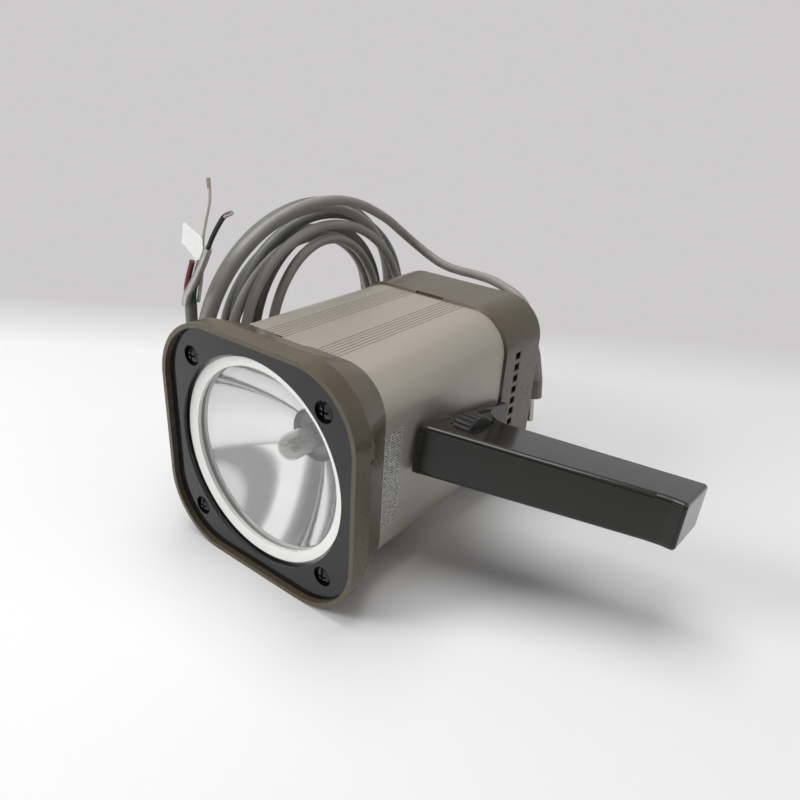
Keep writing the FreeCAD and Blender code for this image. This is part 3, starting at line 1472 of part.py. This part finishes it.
def bare_end():
    """The stripped cores of the signal cable and a blank paper tag."""
    for name, (radius, places) in CORE_POINTS.items():
        tube(name, routed_path(points_of(*places), name), SIZES[radius])
    tag = Piece("wire_tag", on_cord=True)
    face = tag.sketch("XZ_Plane", y=S.tag_front)
    corners = [(S.tag_left + S.tag_width * across, S.tag_foot + S.tag_height * up)
               for across, up in TAG_SHARES]
    outline(face, *corners)
    tag.pad(face, S.tag_thickness)


front_bezel()
front_plate()
four_screws("plate_screws", S.plate_inset + S.screw_well_depth, 1, S.plate_screw_length)
lamp_window()
lamp()
housing_extrusion()
rating_label()
rear_cover()
rear_feet()
rear_panel()
four_screws("panel_screws", panel_back, -1, S.panel_screw_length)
chassis()
board()
grip = [grip_half("grip_half_upper", 1), grip_half("grip_half_lower", -1), grip_foot(), grip_screws()]
place_on_swivel(grip + thumbwheel())
grip_bush()
rate_dial()
power_rocker()
mode_toggle()
fuse_holder()
gland("power_gland", power_gland_place, S.power_cord_radius)
gland("signal_gland", signal_gland_place, S.signal_cord_radius)
power_plug()
cords()
bare_end()
doc.recompute()

failed = [item for item in doc.Objects if "Invalid" in item.State or "Error" in item.State]
for item in failed:
    group = item.getParentGeoFeatureGroup()
    print("failed:", item.Label, "of", group.Label if group else "the document", item.getStatusString())
if failed:
    raise RuntimeError("a feature failed")
for piece in PIECES:
    if piece.Shape.isNull() or not piece.Shape.isValid():
        raise RuntimeError(f"{piece.Label} has no valid shape")

# the origin is the bottom centre of the object without its cords
box = FreeCAD.BoundBox()
for piece in PIECES:
    if piece not in CORD_PIECES:
        box.add(piece.Shape.optimalBoundingBox())
origin = FreeCAD.Vector(box.Center.x, box.Center.y, 0)
print("origin in the drawing's frame", origin, "box", box)
os.makedirs("parts", exist_ok=True)
for piece in PIECES:
    shape = piece.Shape.copy()
    shape.translate(-origin)
    shape.exportStep(f"parts/{piece.Label}.step")
print(len(PIECES), "pieces,", sum(len(piece.Shape.Solids) for piece in PIECES), "solids")
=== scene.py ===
import math

import bpy
from mathutils import Matrix, Vector

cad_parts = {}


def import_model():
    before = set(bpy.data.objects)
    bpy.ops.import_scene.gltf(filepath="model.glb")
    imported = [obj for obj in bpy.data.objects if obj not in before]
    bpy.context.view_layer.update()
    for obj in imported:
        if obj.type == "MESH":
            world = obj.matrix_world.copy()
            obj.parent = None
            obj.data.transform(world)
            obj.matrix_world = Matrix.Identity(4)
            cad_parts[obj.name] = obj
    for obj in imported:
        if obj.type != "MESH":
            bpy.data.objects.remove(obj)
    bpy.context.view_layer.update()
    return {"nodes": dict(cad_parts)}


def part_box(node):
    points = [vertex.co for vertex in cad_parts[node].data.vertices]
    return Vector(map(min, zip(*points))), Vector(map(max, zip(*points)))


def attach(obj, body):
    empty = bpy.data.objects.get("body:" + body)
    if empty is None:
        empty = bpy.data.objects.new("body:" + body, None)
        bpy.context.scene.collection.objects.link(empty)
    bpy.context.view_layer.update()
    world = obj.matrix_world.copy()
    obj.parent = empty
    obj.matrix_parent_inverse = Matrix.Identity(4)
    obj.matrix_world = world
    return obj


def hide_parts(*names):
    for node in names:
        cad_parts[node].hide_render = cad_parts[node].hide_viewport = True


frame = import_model()

# The looks of a hand-held stroboscope: lamp housing, side grip and two coiled cords.
# Metres, +Z up, +Y from the lamp towards the rear, +X towards the grip.

MM = 0.001
# Routes are written in millimetres, from the middle of the bezel's bottom edge, as the solids are drawn.
DRAWING_ORIGIN = Vector((55.75, 105.0, 0.0))
LAMP_HEIGHT = 64.0

POWER_CORD_RADIUS = 3.0
SIGNAL_CORD_RADIUS = 3.3
POWER_GLAND_TIP = (-9, 210, 50)
SIGNAL_GLAND_TIP = (-25, 210, 28)
POWER_LEAD_POINTS = ((-9, 230, 50.5), (-14, 249, 51.5), (-28, 262, 53), (-46, 264, 54.5), (-62, 256, 56),
                     (-73, 241, 57))
POWER_TAIL_POINTS = ((-69.6, 201.9, 137.2), (-66, 213.5, 128), (-56, 219, 120), (-43, 219.5, 115),
                     (-28, 217.5, 114.4), (-13, 214, 115.6), (2, 209.8, 116.3), (15.5, 206.2, 114.5),
                     (28.1, 203.7, 110.9), (35.5, 202.8, 104.2), (40, 202.6, 95.3))
POWER_PLUG_MOUTH = (40.9, 203.1, 85.3)
SIGNAL_LEAD_POINTS = ((-25, 228, 27), (-27, 246, 21), (-34, 262, 12), (-49, 272, 6), (-67, 270, 3.5),
                      (-81, 259, 3.4), (-90, 241, 3.3), (-92.2, 205, 3.3))
SIGNAL_END_POINTS = ((-84.5, 34.1, 105.7), (-85, 35, 118))
# A coil: turns that spiral in and out again in two layers, standing on edge beside the housing.
COILS = {
    "power": {"radius": POWER_CORD_RADIUS, "first_layer": -76.6, "last_layer": -69.6, "front": (20, 25),
              "rear": (220, -20), "bottom_step": 7.6, "top": (168, -13),
              "first_degrees": -40, "turns": 4.75},
    "signal": {"radius": SIGNAL_CORD_RADIUS, "first_layer": -92.0, "last_layer": -84.4, "front": (35, 22),
               "rear": (232, -20), "bottom_step": 8, "top": (165, -12),
               "first_degrees": -90, "turns": 4.25},
}
COIL_POINTS_PER_TURN = 16
# In turns: how long a coil takes to change to its other layer, and to loosen from its ends.
LAYER_CHANGE = 0.5
LOOSENING = 0.5
# How far a turn wanders from an even spiral: its reach, and its phase for each turn and at the start.
COIL_WANDER = {"front": (5.0, 2.3, 1.0), "rear": (4.0, 1.9, 0.4), "top": (2.4, 2.7, 0.5)}


def place(point):
    """A point of the drawing, in metres in the model's frame."""
    return (Vector(point) - DRAWING_ORIGIN) * MM


def paint(red, green, blue):
    """A colour picked in display values, as the linear values that shaders take."""
    linear = []
    for value in (red, green, blue):
        share = value / 255
        linear.append(share / 12.92 if share <= 0.04045 else ((share + 0.055) / 1.055) ** 2.4)
    return (*linear, 1.0)


def add_node(tree, kind, **settings):
    made = tree.nodes.new(kind)
    for name, value in settings.items():
        setattr(made, name, value)
    return made


def feed(tree, socket, source):
    """Links a socket to another node's output, or sets it to a value."""
    if isinstance(source, bpy.types.NodeSocket):
        tree.links.new(source, socket)
    else:
        socket.default_value = source


def calculated(tree, operation, *sources):
    """What a Math node makes of the sources, which are sockets or values."""
    made = add_node(tree, "ShaderNodeMath", operation=operation)
    for socket, source in zip(made.inputs, sources):
        feed(tree, socket, source)
    return made.outputs["Value"]


def combined(tree, operation, *sources):
    """What a Vector Math node makes of the sources: a number for a length or a dot product."""
    made = add_node(tree, "ShaderNodeVectorMath", operation=operation)
    for socket, source in zip(made.inputs, sources):
        feed(tree, socket, source)
    return made.outputs["Value" if operation in ("DOT_PRODUCT", "LENGTH") else "Vector"]


def mapped(tree, source, start, end, low, high):
    """The source with start..end moved to low..high, and held within it."""
    made = add_node(tree, "ShaderNodeMapRange")
    for name, value in (("From Min", start), ("From Max", end), ("To Min", low), ("To Max", high)):
        made.inputs[name].default_value = value
    feed(tree, made.inputs["Value"], source)
    return made.outputs["Result"]


def mixed(tree, factor, first, second):
    """The first colour where the factor is 0, the second where it is 1."""
    made = add_node(tree, "ShaderNodeMix", data_type="RGBA")
    colours = [socket for socket in made.inputs if socket.type == "RGBA"]
    for socket, source in zip([made.inputs["Factor"], *colours], (factor, first, second)):
        feed(tree, socket, source)
    return next(socket for socket in made.outputs if socket.type == "RGBA")


def apart(tree, source):
    """The three parts of a vector, by the letters of their axes."""
    made = add_node(tree, "ShaderNodeSeparateXYZ")
    feed(tree, made.inputs[0], source)
    return made.outputs


class Look:
    """A procedural material on the object's own coordinates, built up node by node."""

    def __init__(self, name, colour, roughness, metallic=0.0, **inputs):
        self.material = bpy.data.materials.new(name)
        self.material.use_nodes = True
        self.tree = self.material.node_tree
        self.shader = self.tree.nodes["Principled BSDF"]
        self.colour = paint(*colour)
        self.roughness = roughness
        self.height = None
        self.set("Base Color", self.colour)
        self.set("Roughness", roughness)
        self.set("Metallic", metallic)
        for socket, value in inputs.items():
            self.set(socket.replace("_", " "), value)
        self.place = self.node("ShaderNodeTexCoord").outputs["Object"]

    def set(self, socket, value):
        self.shader.inputs[socket].default_value = value

    def node(self, kind, **settings):
        return add_node(self.tree, kind, **settings)

    def link(self, source, target):
        self.tree.links.new(source, target)

    def noise(self, size, stretch=(1, 1, 1), detail=3.0):
        """Noise whose features are about that many millimetres, times the stretch along each axis."""
        mapping = self.node("ShaderNodeMapping")
        mapping.inputs["Scale"].default_value = [1 / way for way in stretch]
        texture = self.node("ShaderNodeTexNoise")
        texture.inputs["Scale"].default_value = 1 / (size * MM)
        texture.inputs["Detail"].default_value = detail
        self.link(self.place, mapping.inputs["Vector"])
        self.link(mapping.outputs["Vector"], texture.inputs["Vector"])
        return texture.outputs["Fac"]

    def between(self, source, low, high, start=0.3, end=0.7):
        """Values of the source from start to end, mapped to low..high."""
        return mapped(self.tree, source, start, end, low, high)

    def mix(self, factor, other):
        """Mixes another colour over what the surface has so far."""
        base = self.shader.inputs["Base Color"]
        below = base.links[0].from_socket if base.links else self.colour
        self.link(mixed(self.tree, factor, below, paint(*other)), base)

    def rough(self, source, spread):
        """Lets the roughness vary by the spread each way."""
        varied = self.between(source, self.roughness - spread, self.roughness + spread)
        self.link(varied, self.shader.inputs["Roughness"])

    def bump(self, source, depth):
        """Raises the surface by the source, by that many millimetres, over the bumps it has so far."""
        bumps = self.node("ShaderNodeBump")
        bumps.inputs["Distance"].default_value = depth * MM
        self.link(source, bumps.inputs["Height"])
        if self.height:
            self.link(self.height, bumps.inputs["Normal"])
        self.height = bumps.outputs["Normal"]
        self.link(self.height, self.shader.inputs["Normal"])


# Shares of a look's colour and roughness.
TARNISH_SHARE = 0.82
RUBBED_SHARE = 1.12
SMUDGE_SHARE = 0.18
SCUFF_SHARE = 0.25


def plastic(name, colour, roughness, grain=0.5, depth=0.02, shade=0.9, smudge=SMUDGE_SHARE):
    """Moulded plastic: a fine grain, faint smudges in the gloss and a slight unevenness of colour."""
    look = Look(name, colour, roughness)
    darker = [value * shade for value in colour]
    look.mix(look.between(look.noise(18), 0, 1), darker)
    look.rough(look.noise(9, detail=5), roughness * smudge)
    look.bump(look.noise(grain), depth)
    return look


def metal(name, colour, roughness, lines=(1, 1, 1), depth=0.01, metallic=1.0):
    """Bare or plated metal: fine marks drawn out along the lines, and tarnish in the colour."""
    look = Look(name, colour, roughness, metallic)
    look.mix(look.between(look.noise(6, detail=4), 0, 0.5), [value * TARNISH_SHARE for value in colour])
    look.rough(look.noise(1.2, lines), roughness * SCUFF_SHARE)
    look.bump(look.noise(0.5, lines), depth)
    return look


def anodised_aluminium():
    """Extruded and anodised: faint die lines along the length and a soft satin sheen."""
    along = (1, 120, 1)
    look = Look("anodised_aluminium", (180, 172, 161), 0.44, 0.5)
    look.mix(look.between(look.noise(0.7, along, 3), 0, 0.22), (160, 153, 143))
    look.mix(look.between(look.noise(45), 0, 0.25), (172, 167, 157))
    look.rough(look.noise(0.9, along), 0.04)
    look.bump(look.noise(0.5, along), 0.006)
    return look


# How many ripples of the lathe's marks there are to a metre of the reflector's radius.
LATHE_RIPPLES = 900
ACROSS_LAMP = (1, 0, 1)
LAMP_AXIS = (0, 1, 0)


def spun_aluminium():
    """The reflector: polished on a lathe, so that fine rings run round the lamp's axis."""
    look = Look("spun_aluminium", (246, 246, 245), 0.07, 1.0)
    outward = combined(look.tree, "SUBTRACT", look.place, place((0, 0, LAMP_HEIGHT)))
    flat = combined(look.tree, "MULTIPLY", outward, ACROSS_LAMP)
    rings = look.node("ShaderNodeTexNoise", noise_dimensions="1D")
    rings.inputs["Scale"].default_value = LATHE_RIPPLES
    rings.inputs["Detail"].default_value = 3
    look.link(combined(look.tree, "LENGTH", flat), rings.inputs["W"])
    look.rough(rings.outputs["Fac"], 0.03)
    look.bump(rings.outputs["Fac"], 0.004)
    look.mix(look.between(look.noise(14, detail=4), 0, 0.3), (226, 226, 226))
    look.link(combined(look.tree, "CROSS_PRODUCT", flat, LAMP_AXIS), look.shader.inputs["Tangent"])
    look.set("Anisotropic", 0.3)
    return look


def clear_sheet():
    """The flat window, thin enough that only its gloss shows."""
    look = Look("clear_window", (250, 252, 252), 0.04, Alpha=0.10)
    look.rough(look.noise(30, detail=6), 0.02)
    look.bump(look.noise(60), 0.01)
    return look


def lamp_glass():
    look = Look("lamp_glass", (206, 206, 202), 0.03, Transmission_Weight=0.92, IOR=1.47)
    look.rough(look.noise(5), 0.03)
    look.bump(look.noise(4), 0.02)
    return look


# How many rows and columns of hatching the label has, and the shares of each that stay bare.
LABEL_COUNTS = {"Z": 34, "Y": 3.2}
LABEL_BARE_SHARES = {"Z": 0.42, "Y": 0.1}


def label_card():
    """A bare rating label: a pale plate with rows of broken hatching, in columns, and nothing written."""
    look = Look("hatched_label", (186, 185, 180), 0.42)
    low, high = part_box("rating_label")
    parts = apart(look.tree, look.place)
    shown = look.between(look.noise(0.9, (1, 1.5, 0.8), 1), 0, 1, 0.46, 0.50)
    for axis, count in LABEL_COUNTS.items():
        start = getattr(low, axis.lower())
        pitch = (getattr(high, axis.lower()) - start) / count
        shifted = calculated(look.tree, "SUBTRACT", parts[axis], start)
        share = calculated(look.tree, "FRACT", calculated(look.tree, "DIVIDE", shifted, pitch))
        hatched = calculated(look.tree, "GREATER_THAN", share, LABEL_BARE_SHARES[axis])
        shown = calculated(look.tree, "MULTIPLY", shown, hatched)
    look.mix(shown, (70, 70, 68))
    look.rough(look.noise(3), 0.06)
    look.bump(look.noise(1.5), 0.01)
    return look


def cord_sheath(name, colour, worn):
    """Flexible PVC: matt, a little dusty, with faint rub marks."""
    look = Look(name, colour, 0.46)
    look.mix(look.between(look.noise(16, detail=5), 0, 0.8), worn)
    rubbed = [value * RUBBED_SHARE for value in worn]
    look.mix(look.between(look.noise(2.2, detail=5), 0, 0.35, 0.52, 0.8), rubbed)
    look.rough(look.noise(6, detail=5), 0.10)
    look.bump(look.noise(2.5), 0.05)
    look.bump(look.noise(0.5), 0.012)
    return look


ALUMINIUM = anodised_aluminium()
BROWN = plastic("brown_moulding", (88, 78, 61), 0.28, grain=0.7, depth=0.006, shade=0.94, smudge=0.08)
BLACK_GLOSS = plastic("black_gloss_plate", (18, 18, 20), 0.12, grain=2.0, depth=0.003, shade=0.9)
WHITE_RING = plastic("white_ring", (250, 249, 246), 0.30, grain=1.0, depth=0.01, shade=0.97)
GRIP_BLACK = plastic("grip_black", (22, 22, 16), 0.17, grain=0.6, depth=0.004, shade=0.85)
WHEEL_BLACK = plastic("wheel_black", (17, 17, 16), 0.5, grain=0.5, depth=0.02)
FOOT_GREY = plastic("foot_grey", (36, 36, 31), 0.28, grain=0.6, depth=0.006)
DARK_STEEL = metal("dark_steel", (54, 52, 50), 0.30)
NICKEL = metal("nickel", (190, 184, 172), 0.26)
BRASS = metal("brass", (196, 164, 96), 0.3)
BARE_ALUMINIUM = metal("bare_aluminium", (176, 176, 174), 0.42, lines=(1, 40, 1), depth=0.02)
PLAIN_BLACK = plastic("control_black", (24, 24, 24), 0.36, grain=0.4, depth=0.02)
RUBBER = plastic("foot_rubber", (32, 32, 31), 0.7, grain=0.3, depth=0.03)
PALE_GASKET = plastic("gasket_silicone", (232, 231, 228), 0.5, grain=0.3, depth=0.02)
PANEL = metal("panel_paint", (120, 113, 100), 0.45, lines=(30, 1, 1), depth=0.012, metallic=0.2)
# The lamp base's colour is darkened into painted shade: it stands in for the shade deep inside the lamp's
# hole behind the window.
CERAMIC_WITH_PAINTED_SHADE = plastic("lamp_base_ceramic_painted_shade", (92, 89, 85), 0.5, grain=0.4, depth=0.04)
COPPER = metal("copper_winding", (184, 110, 70), 0.3, lines=(20, 20, 1), depth=0.15)
CORE_STEEL = metal("core_laminations", (70, 68, 66), 0.5, lines=(60, 1, 60), depth=0.12)
CAPACITOR = plastic("capacitor_sleeve", (40, 62, 98), 0.3)
BOARD = plastic("circuit_laminate", (46, 84, 52), 0.4, grain=0.8, depth=0.03)
PARTS = plastic("component_plastic", (150, 110, 40), 0.4)
GREY_PLUG = plastic("plug_grey", (122, 119, 114), 0.42, grain=0.5, depth=0.03)
POWER_SHEATH = cord_sheath("power_sheath", (150, 147, 141), (134, 132, 126))
SIGNAL_SHEATH = cord_sheath("signal_sheath", (116, 116, 110), (102, 103, 97))


# Boxes of the drawing that hold the stripped tips of two cores.
WHITE_TIP = ((-70, 30, 181), (-58, 40, 190))
BLACK_TIP = ((-51.5, 30, 168), (-40, 40, 176))
TINNED_STRANDS = (176, 166, 150)


def bare_tip(look, low, high):
    """Shows bare, tinned strands in a box of the drawing, where the insulation is stripped off."""
    parts = apart(look.tree, look.place)
    inside = 1.0
    for axis, least, most in zip("XYZ", place(low), place(high)):
        for operation, limit in (("GREATER_THAN", least), ("LESS_THAN", most)):
            within = calculated(look.tree, operation, parts[axis], limit)
            inside = calculated(look.tree, "MULTIPLY", inside, within)
    look.mix(inside, TINNED_STRANDS)
    look.link(inside, look.shader.inputs["Metallic"])
    return look


CORE_LOOKS = {
    "wire_green": plastic("core_green", (36, 96, 78), 0.4, grain=0.6, depth=0.03),
    "wire_red": plastic("core_red", (118, 44, 36), 0.4, grain=0.6, depth=0.03),
    "wire_white": bare_tip(plastic("core_white", (226, 224, 214), 0.4, grain=0.6, depth=0.03),
                           *WHITE_TIP),
    "wire_black": bare_tip(plastic("core_black", (34, 34, 33), 0.4, grain=0.6, depth=0.03),
                           *BLACK_TIP),
    "wire_shield": metal("tinned_braid", (196, 194, 190), 0.4, depth=0.1),
    "wire_tag": plastic("tag_card", (246, 246, 244), 0.6, grain=0.4, depth=0.02, shade=0.98),
}

NODE_LOOKS = {
    ALUMINIUM: ("housing_extrusion",),
    BROWN: ("front_bezel", "rear_cover"),
    BLACK_GLOSS: ("front_plate", "plate_screws"),
    WHITE_RING: ("window_ring",),
    spun_aluminium(): ("reflector",),
    clear_sheet(): ("window",),
    lamp_glass(): ("lamp_envelope",),
    label_card(): ("rating_label",),
    GRIP_BLACK: ("grip_half_upper", "grip_half_lower"),
    DARK_STEEL: ("grip_screws", "thumbwheel_stud"),
    FOOT_GREY: ("grip_foot",),
    WHEEL_BLACK: ("thumbwheel",),
    NICKEL: ("panel_screws", "bush_nut", "dial_nut", "dial_shaft", "toggle_nut", "toggle_lever",
             "toggle_switch", "lamp_pins", "plug_pins", "grip_bush", "flash_tube"),
    BRASS: ("board_standoffs", "trigger_coil"),
    BARE_ALUMINIUM: ("lamp_bracket", "chassis_sled"),
    PLAIN_BLACK: ("rate_dial", "rocker_frame", "power_rocker", "fuse_holder", "power_gland",
                  "signal_gland", "dial_potentiometer"),
    RUBBER: ("rear_feet",),
    PALE_GASKET: ("window_gasket",),
    PANEL: ("rear_panel",),
    CERAMIC_WITH_PAINTED_SHADE: ("lamp_base",),
    COPPER: ("transformer_winding",),
    CORE_STEEL: ("transformer_core",),
    CAPACITOR: ("storage_capacitors",),
    BOARD: ("circuit_board",),
    PARTS: ("board_components",),
    GREY_PLUG: ("power_plug",),
}


def dress(node, look):
    materials = frame["nodes"][node].data.materials
    materials.clear()
    materials.append(look.material)


def dress_nodes():
    for look, nodes in NODE_LOOKS.items():
        for node in nodes:
            dress(node, look)
    for node, look in CORE_LOOKS.items():
        dress(node, look)


def coil_point(coil, turn):
    """A point of the coil, a number of turns after its start."""
    sizes = COILS[coil]
    half = sizes["turns"] / 2
    drawn_in = half - abs(turn - half)
    climbed = min(1.0, max(0.0, (turn - half) / LAYER_CHANGE + 0.5))
    smooth = climbed * climbed * (3 - 2 * climbed)
    x = sizes["first_layer"] + (sizes["last_layer"] - sizes["first_layer"]) * smooth
    loose = min(1.0, turn / LOOSENING, (sizes["turns"] - turn) / LOOSENING)
    extents = []
    for side, (reach, per_turn, phase) in COIL_WANDER.items():
        start, step = sizes[side]
        extents.append(start + step * drawn_in + loose * reach * math.sin(per_turn * turn + phase))
    front, rear, top = extents
    bottom = sizes["radius"] + sizes["bottom_step"] * drawn_in
    angle = math.radians(sizes["first_degrees"]) - 2 * math.pi * turn
    y = (front + rear) / 2 + (rear - front) / 2 * math.cos(angle)
    z = (bottom + top) / 2 + (top - bottom) / 2 * math.sin(angle)
    return (x, y, z)


def coil_points(coil):
    count = round(COILS[coil]["turns"] * COIL_POINTS_PER_TURN)
    return [coil_point(coil, number / COIL_POINTS_PER_TURN) for number in range(count + 1)]


def line_length(points):
    """The length of the smooth line that these points control, read from its own curve."""
    curve = smooth_curve("measure", points)
    piece = bpy.data.objects.new("measure", curve)
    bpy.context.scene.collection.objects.link(piece)
    mesh = bpy.data.meshes.new_from_object(piece.evaluated_get(bpy.context.evaluated_depsgraph_get()))
    line = [vertex.co.copy() for vertex in mesh.vertices]
    bpy.data.objects.remove(piece)
    bpy.data.meshes.remove(mesh)
    return sum((after - before).length for before, after in zip(line, line[1:]))


# How finely a cord is cut along each stretch, and round its section.
CORD_STEPS = 10
CORD_ROUNDING = 6


def smooth_curve(name, points):
    curve = bpy.data.curves.new(name, "CURVE")
    curve.dimensions = "3D"
    curve.resolution_u = CORD_STEPS
    spline = curve.splines.new("NURBS")
    spline.points.add(len(points) - 1)
    for control, point in zip(spline.points, points):
        control.co = (*place(point), 1.0)
    spline.order_u = 3
    spline.use_endpoint_u = True
    return curve


def round_cord(name, points, radius, look, nodes):
    curve = smooth_curve(name, points)
    curve.bevel_depth = radius * MM
    curve.bevel_resolution = CORD_ROUNDING
    curve.use_fill_caps = True
    curve.materials.append(look.material)
    cord = bpy.data.objects.new(name, curve)
    bpy.context.scene.collection.objects.link(cord)
    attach(cord, "housing")
    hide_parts(*nodes)
    line_length(points)


def cords():
    power = [POWER_GLAND_TIP, *POWER_LEAD_POINTS, *coil_points("power"), *POWER_TAIL_POINTS,
             POWER_PLUG_MOUTH]
    round_cord("power_cord", power, POWER_CORD_RADIUS, POWER_SHEATH,
               ("power_cord_lead", "power_cord_coil", "power_cord_tail"))
    signal = [SIGNAL_GLAND_TIP, *SIGNAL_LEAD_POINTS, *coil_points("signal"), *SIGNAL_END_POINTS]
    round_cord("signal_cord", signal, SIGNAL_CORD_RADIUS, SIGNAL_SHEATH,
               ("signal_cord_lead", "signal_cord_coil", "signal_cord_end"))


# The camera stands where the photograph was taken from; its picture is 800 pixels wide and high.
CAMERA_PLACE = Vector((0.1625, -0.2900, 0.2393))
CAMERA_TURN = 35.765
CAMERA_TILT = 64.126
CAMERA_ROLL = 3.666
CAMERA_FOCAL_PIXELS = 682.76
PICTURE_PIXELS = 800
SENSOR_WIDTH = 36.0


def camera():
    lens = bpy.data.cameras.new("camera")
    lens.sensor_width = SENSOR_WIDTH
    lens.lens = CAMERA_FOCAL_PIXELS / PICTURE_PIXELS * SENSOR_WIDTH
    lens.clip_start = 0.01
    holder = bpy.data.objects.new("camera", lens)
    turns = [Matrix.Rotation(math.radians(degrees), 4, axis)
             for degrees, axis in ((CAMERA_TURN, "Z"), (CAMERA_TILT, "X"), (CAMERA_ROLL, "Z"))]
    holder.matrix_world = Matrix.Translation(CAMERA_PLACE) @ turns[0] @ turns[1] @ turns[2]
    bpy.context.scene.collection.objects.link(holder)
    bpy.context.scene.camera = holder


# Square softboxes: the place, what each one is aimed at and its side, in metres, about what it adds to
# a white surface that faces it, and whether polished pieces mirror it.
SOFTBOXES = {
    "overhead": ((-0.16, -0.02, 1.1), (0, 0, 0.05), 0.7, 0.58, True),
    "side": ((1.0, 0.35, 0.9), (0, 0, 0.06), 0.6, 0.10, True),
    "front_left": ((-0.7, -0.9, 0.8), (0, 0, 0.06), 0.5, 0.45, False),
}


def lights():
    for name, (at, towards, side, value, mirrored) in SOFTBOXES.items():
        light = bpy.data.lights.new(name, "AREA")
        light.shape = "SQUARE"
        light.size = side
        way = Vector(towards) - Vector(at)
        light.energy = value * math.pi ** 2 * way.length_squared
        holder = bpy.data.objects.new(name, light)
        holder.location = at
        holder.visible_glossy = mirrored
        holder.rotation_euler = way.to_track_quat("-Z", "Y").to_euler()
        bpy.context.scene.collection.objects.link(holder)


FLOOR_SIZE = 6.0
FLOOR_WHITE = (243, 243, 243)
WALL_GREY = (205, 203, 204)
# Where the floor starts to fade and where it ends, in metres along the camera's level heading.
FADE_START = 0.23
FADE_END = 0.36


def floor():
    """A pale floor that fades into the light grey room behind the object."""
    turn = math.radians(CAMERA_TURN)
    heading = (-math.sin(turn), math.cos(turn), 0)
    mesh = bpy.data.meshes.new("floor")
    half = FLOOR_SIZE / 2
    corners = [(-half, -half, 0), (half, -half, 0), (half, half, 0), (-half, half, 0)]
    mesh.from_pydata(corners, [], [(0, 1, 2, 3)])
    piece = bpy.data.objects.new("floor", mesh)
    bpy.context.scene.collection.objects.link(piece)
    look = Look("floor_paper", FLOOR_WHITE, 0.8)
    away = combined(look.tree, "DOT_PRODUCT", look.place, heading)
    look.link(look.between(away, 1, 0, FADE_START, FADE_END), look.shader.inputs["Alpha"])
    look.bump(look.noise(3), 0.02)
    mesh.materials.append(look.material)


# The soft light's colour, from the side away from it to the side that most of it comes from.
SOFT_STEPS = ((0.0, (0.10, 0.10, 0.10)), (0.9, (0.36, 0.36, 0.37)))
BRIGHT_SIDE = (-0.42, -0.25, 0.87)
# How bright the room in front of the lamp looks, in bands from low to high along a slant.
ROOM_STEPS = ((0.0, 0.05), (0.36, 0.08), (0.44, 0.3), (0.50, 1.0), (0.65, 1.0), (0.69, 0.34), (0.72, 0.22),
              (0.82, 0.24), (0.86, 0.70), (1.0, 0.76))
ROOM_SLANT = (0.7, 0, 0.7)
# How far along +Y a way points where the plain wall gives over to the bands.
BANDS_START = 0.1
BANDS_FULL = -0.3


def ramp(tree, source, steps):
    """Colours along the source, from steps of a position and a colour."""
    made = add_node(tree, "ShaderNodeValToRGB")
    stops = made.color_ramp.elements
    while len(stops) < len(steps):
        stops.new(0.5)
    for stop, (position, colour) in zip(stops, steps):
        stop.position = position
        stop.color = (*colour, 1)
    feed(tree, made.inputs["Fac"], source)
    return made.outputs["Color"]


def seen_room(tree, way):
    """What shows of the room: a plain wall behind the object, and bands of light in front of it."""
    along = mapped(tree, combined(tree, "DOT_PRODUCT", way, ROOM_SLANT), -1, 1, 0, 1)
    bands = ramp(tree, along, [(position, (value, value, value)) for position, value in ROOM_STEPS])
    front = mapped(tree, apart(tree, way)["Y"], BANDS_START, BANDS_FULL, 0, 1)
    return mixed(tree, front, paint(*WALL_GREY), bands)


def world():
    """A soft studio gives the light. The camera, metal and glass see a pale room instead."""
    room = bpy.data.worlds.new("studio")
    room.use_nodes = True
    bpy.context.scene.world = room
    tree = room.node_tree
    way = add_node(tree, "ShaderNodeTexCoord").outputs["Generated"]
    light = tree.nodes["Background"]
    light.inputs["Strength"].default_value = 1.0
    brighter = combined(tree, "DOT_PRODUCT", way, BRIGHT_SIDE)
    tree.links.new(ramp(tree, brighter, SOFT_STEPS), light.inputs["Color"])
    seen = add_node(tree, "ShaderNodeBackground")
    tree.links.new(seen_room(tree, way), seen.inputs["Color"])
    rays = add_node(tree, "ShaderNodeLightPath").outputs
    looking = calculated(tree, "MAXIMUM", rays["Is Camera Ray"], rays["Is Glossy Ray"])
    looking = calculated(tree, "MAXIMUM", looking, rays["Is Transmission Ray"])
    chosen = add_node(tree, "ShaderNodeMixShader")
    for socket, source in zip(chosen.inputs, (looking, light.outputs[0], seen.outputs[0])):
        tree.links.new(source, socket)
    tree.links.new(chosen.outputs[0], tree.nodes["World Output"].inputs["Surface"])


camera()
dress_nodes()
cords()
floor()
world()
lights()
bpy.context.scene.view_settings.view_transform = "Standard"
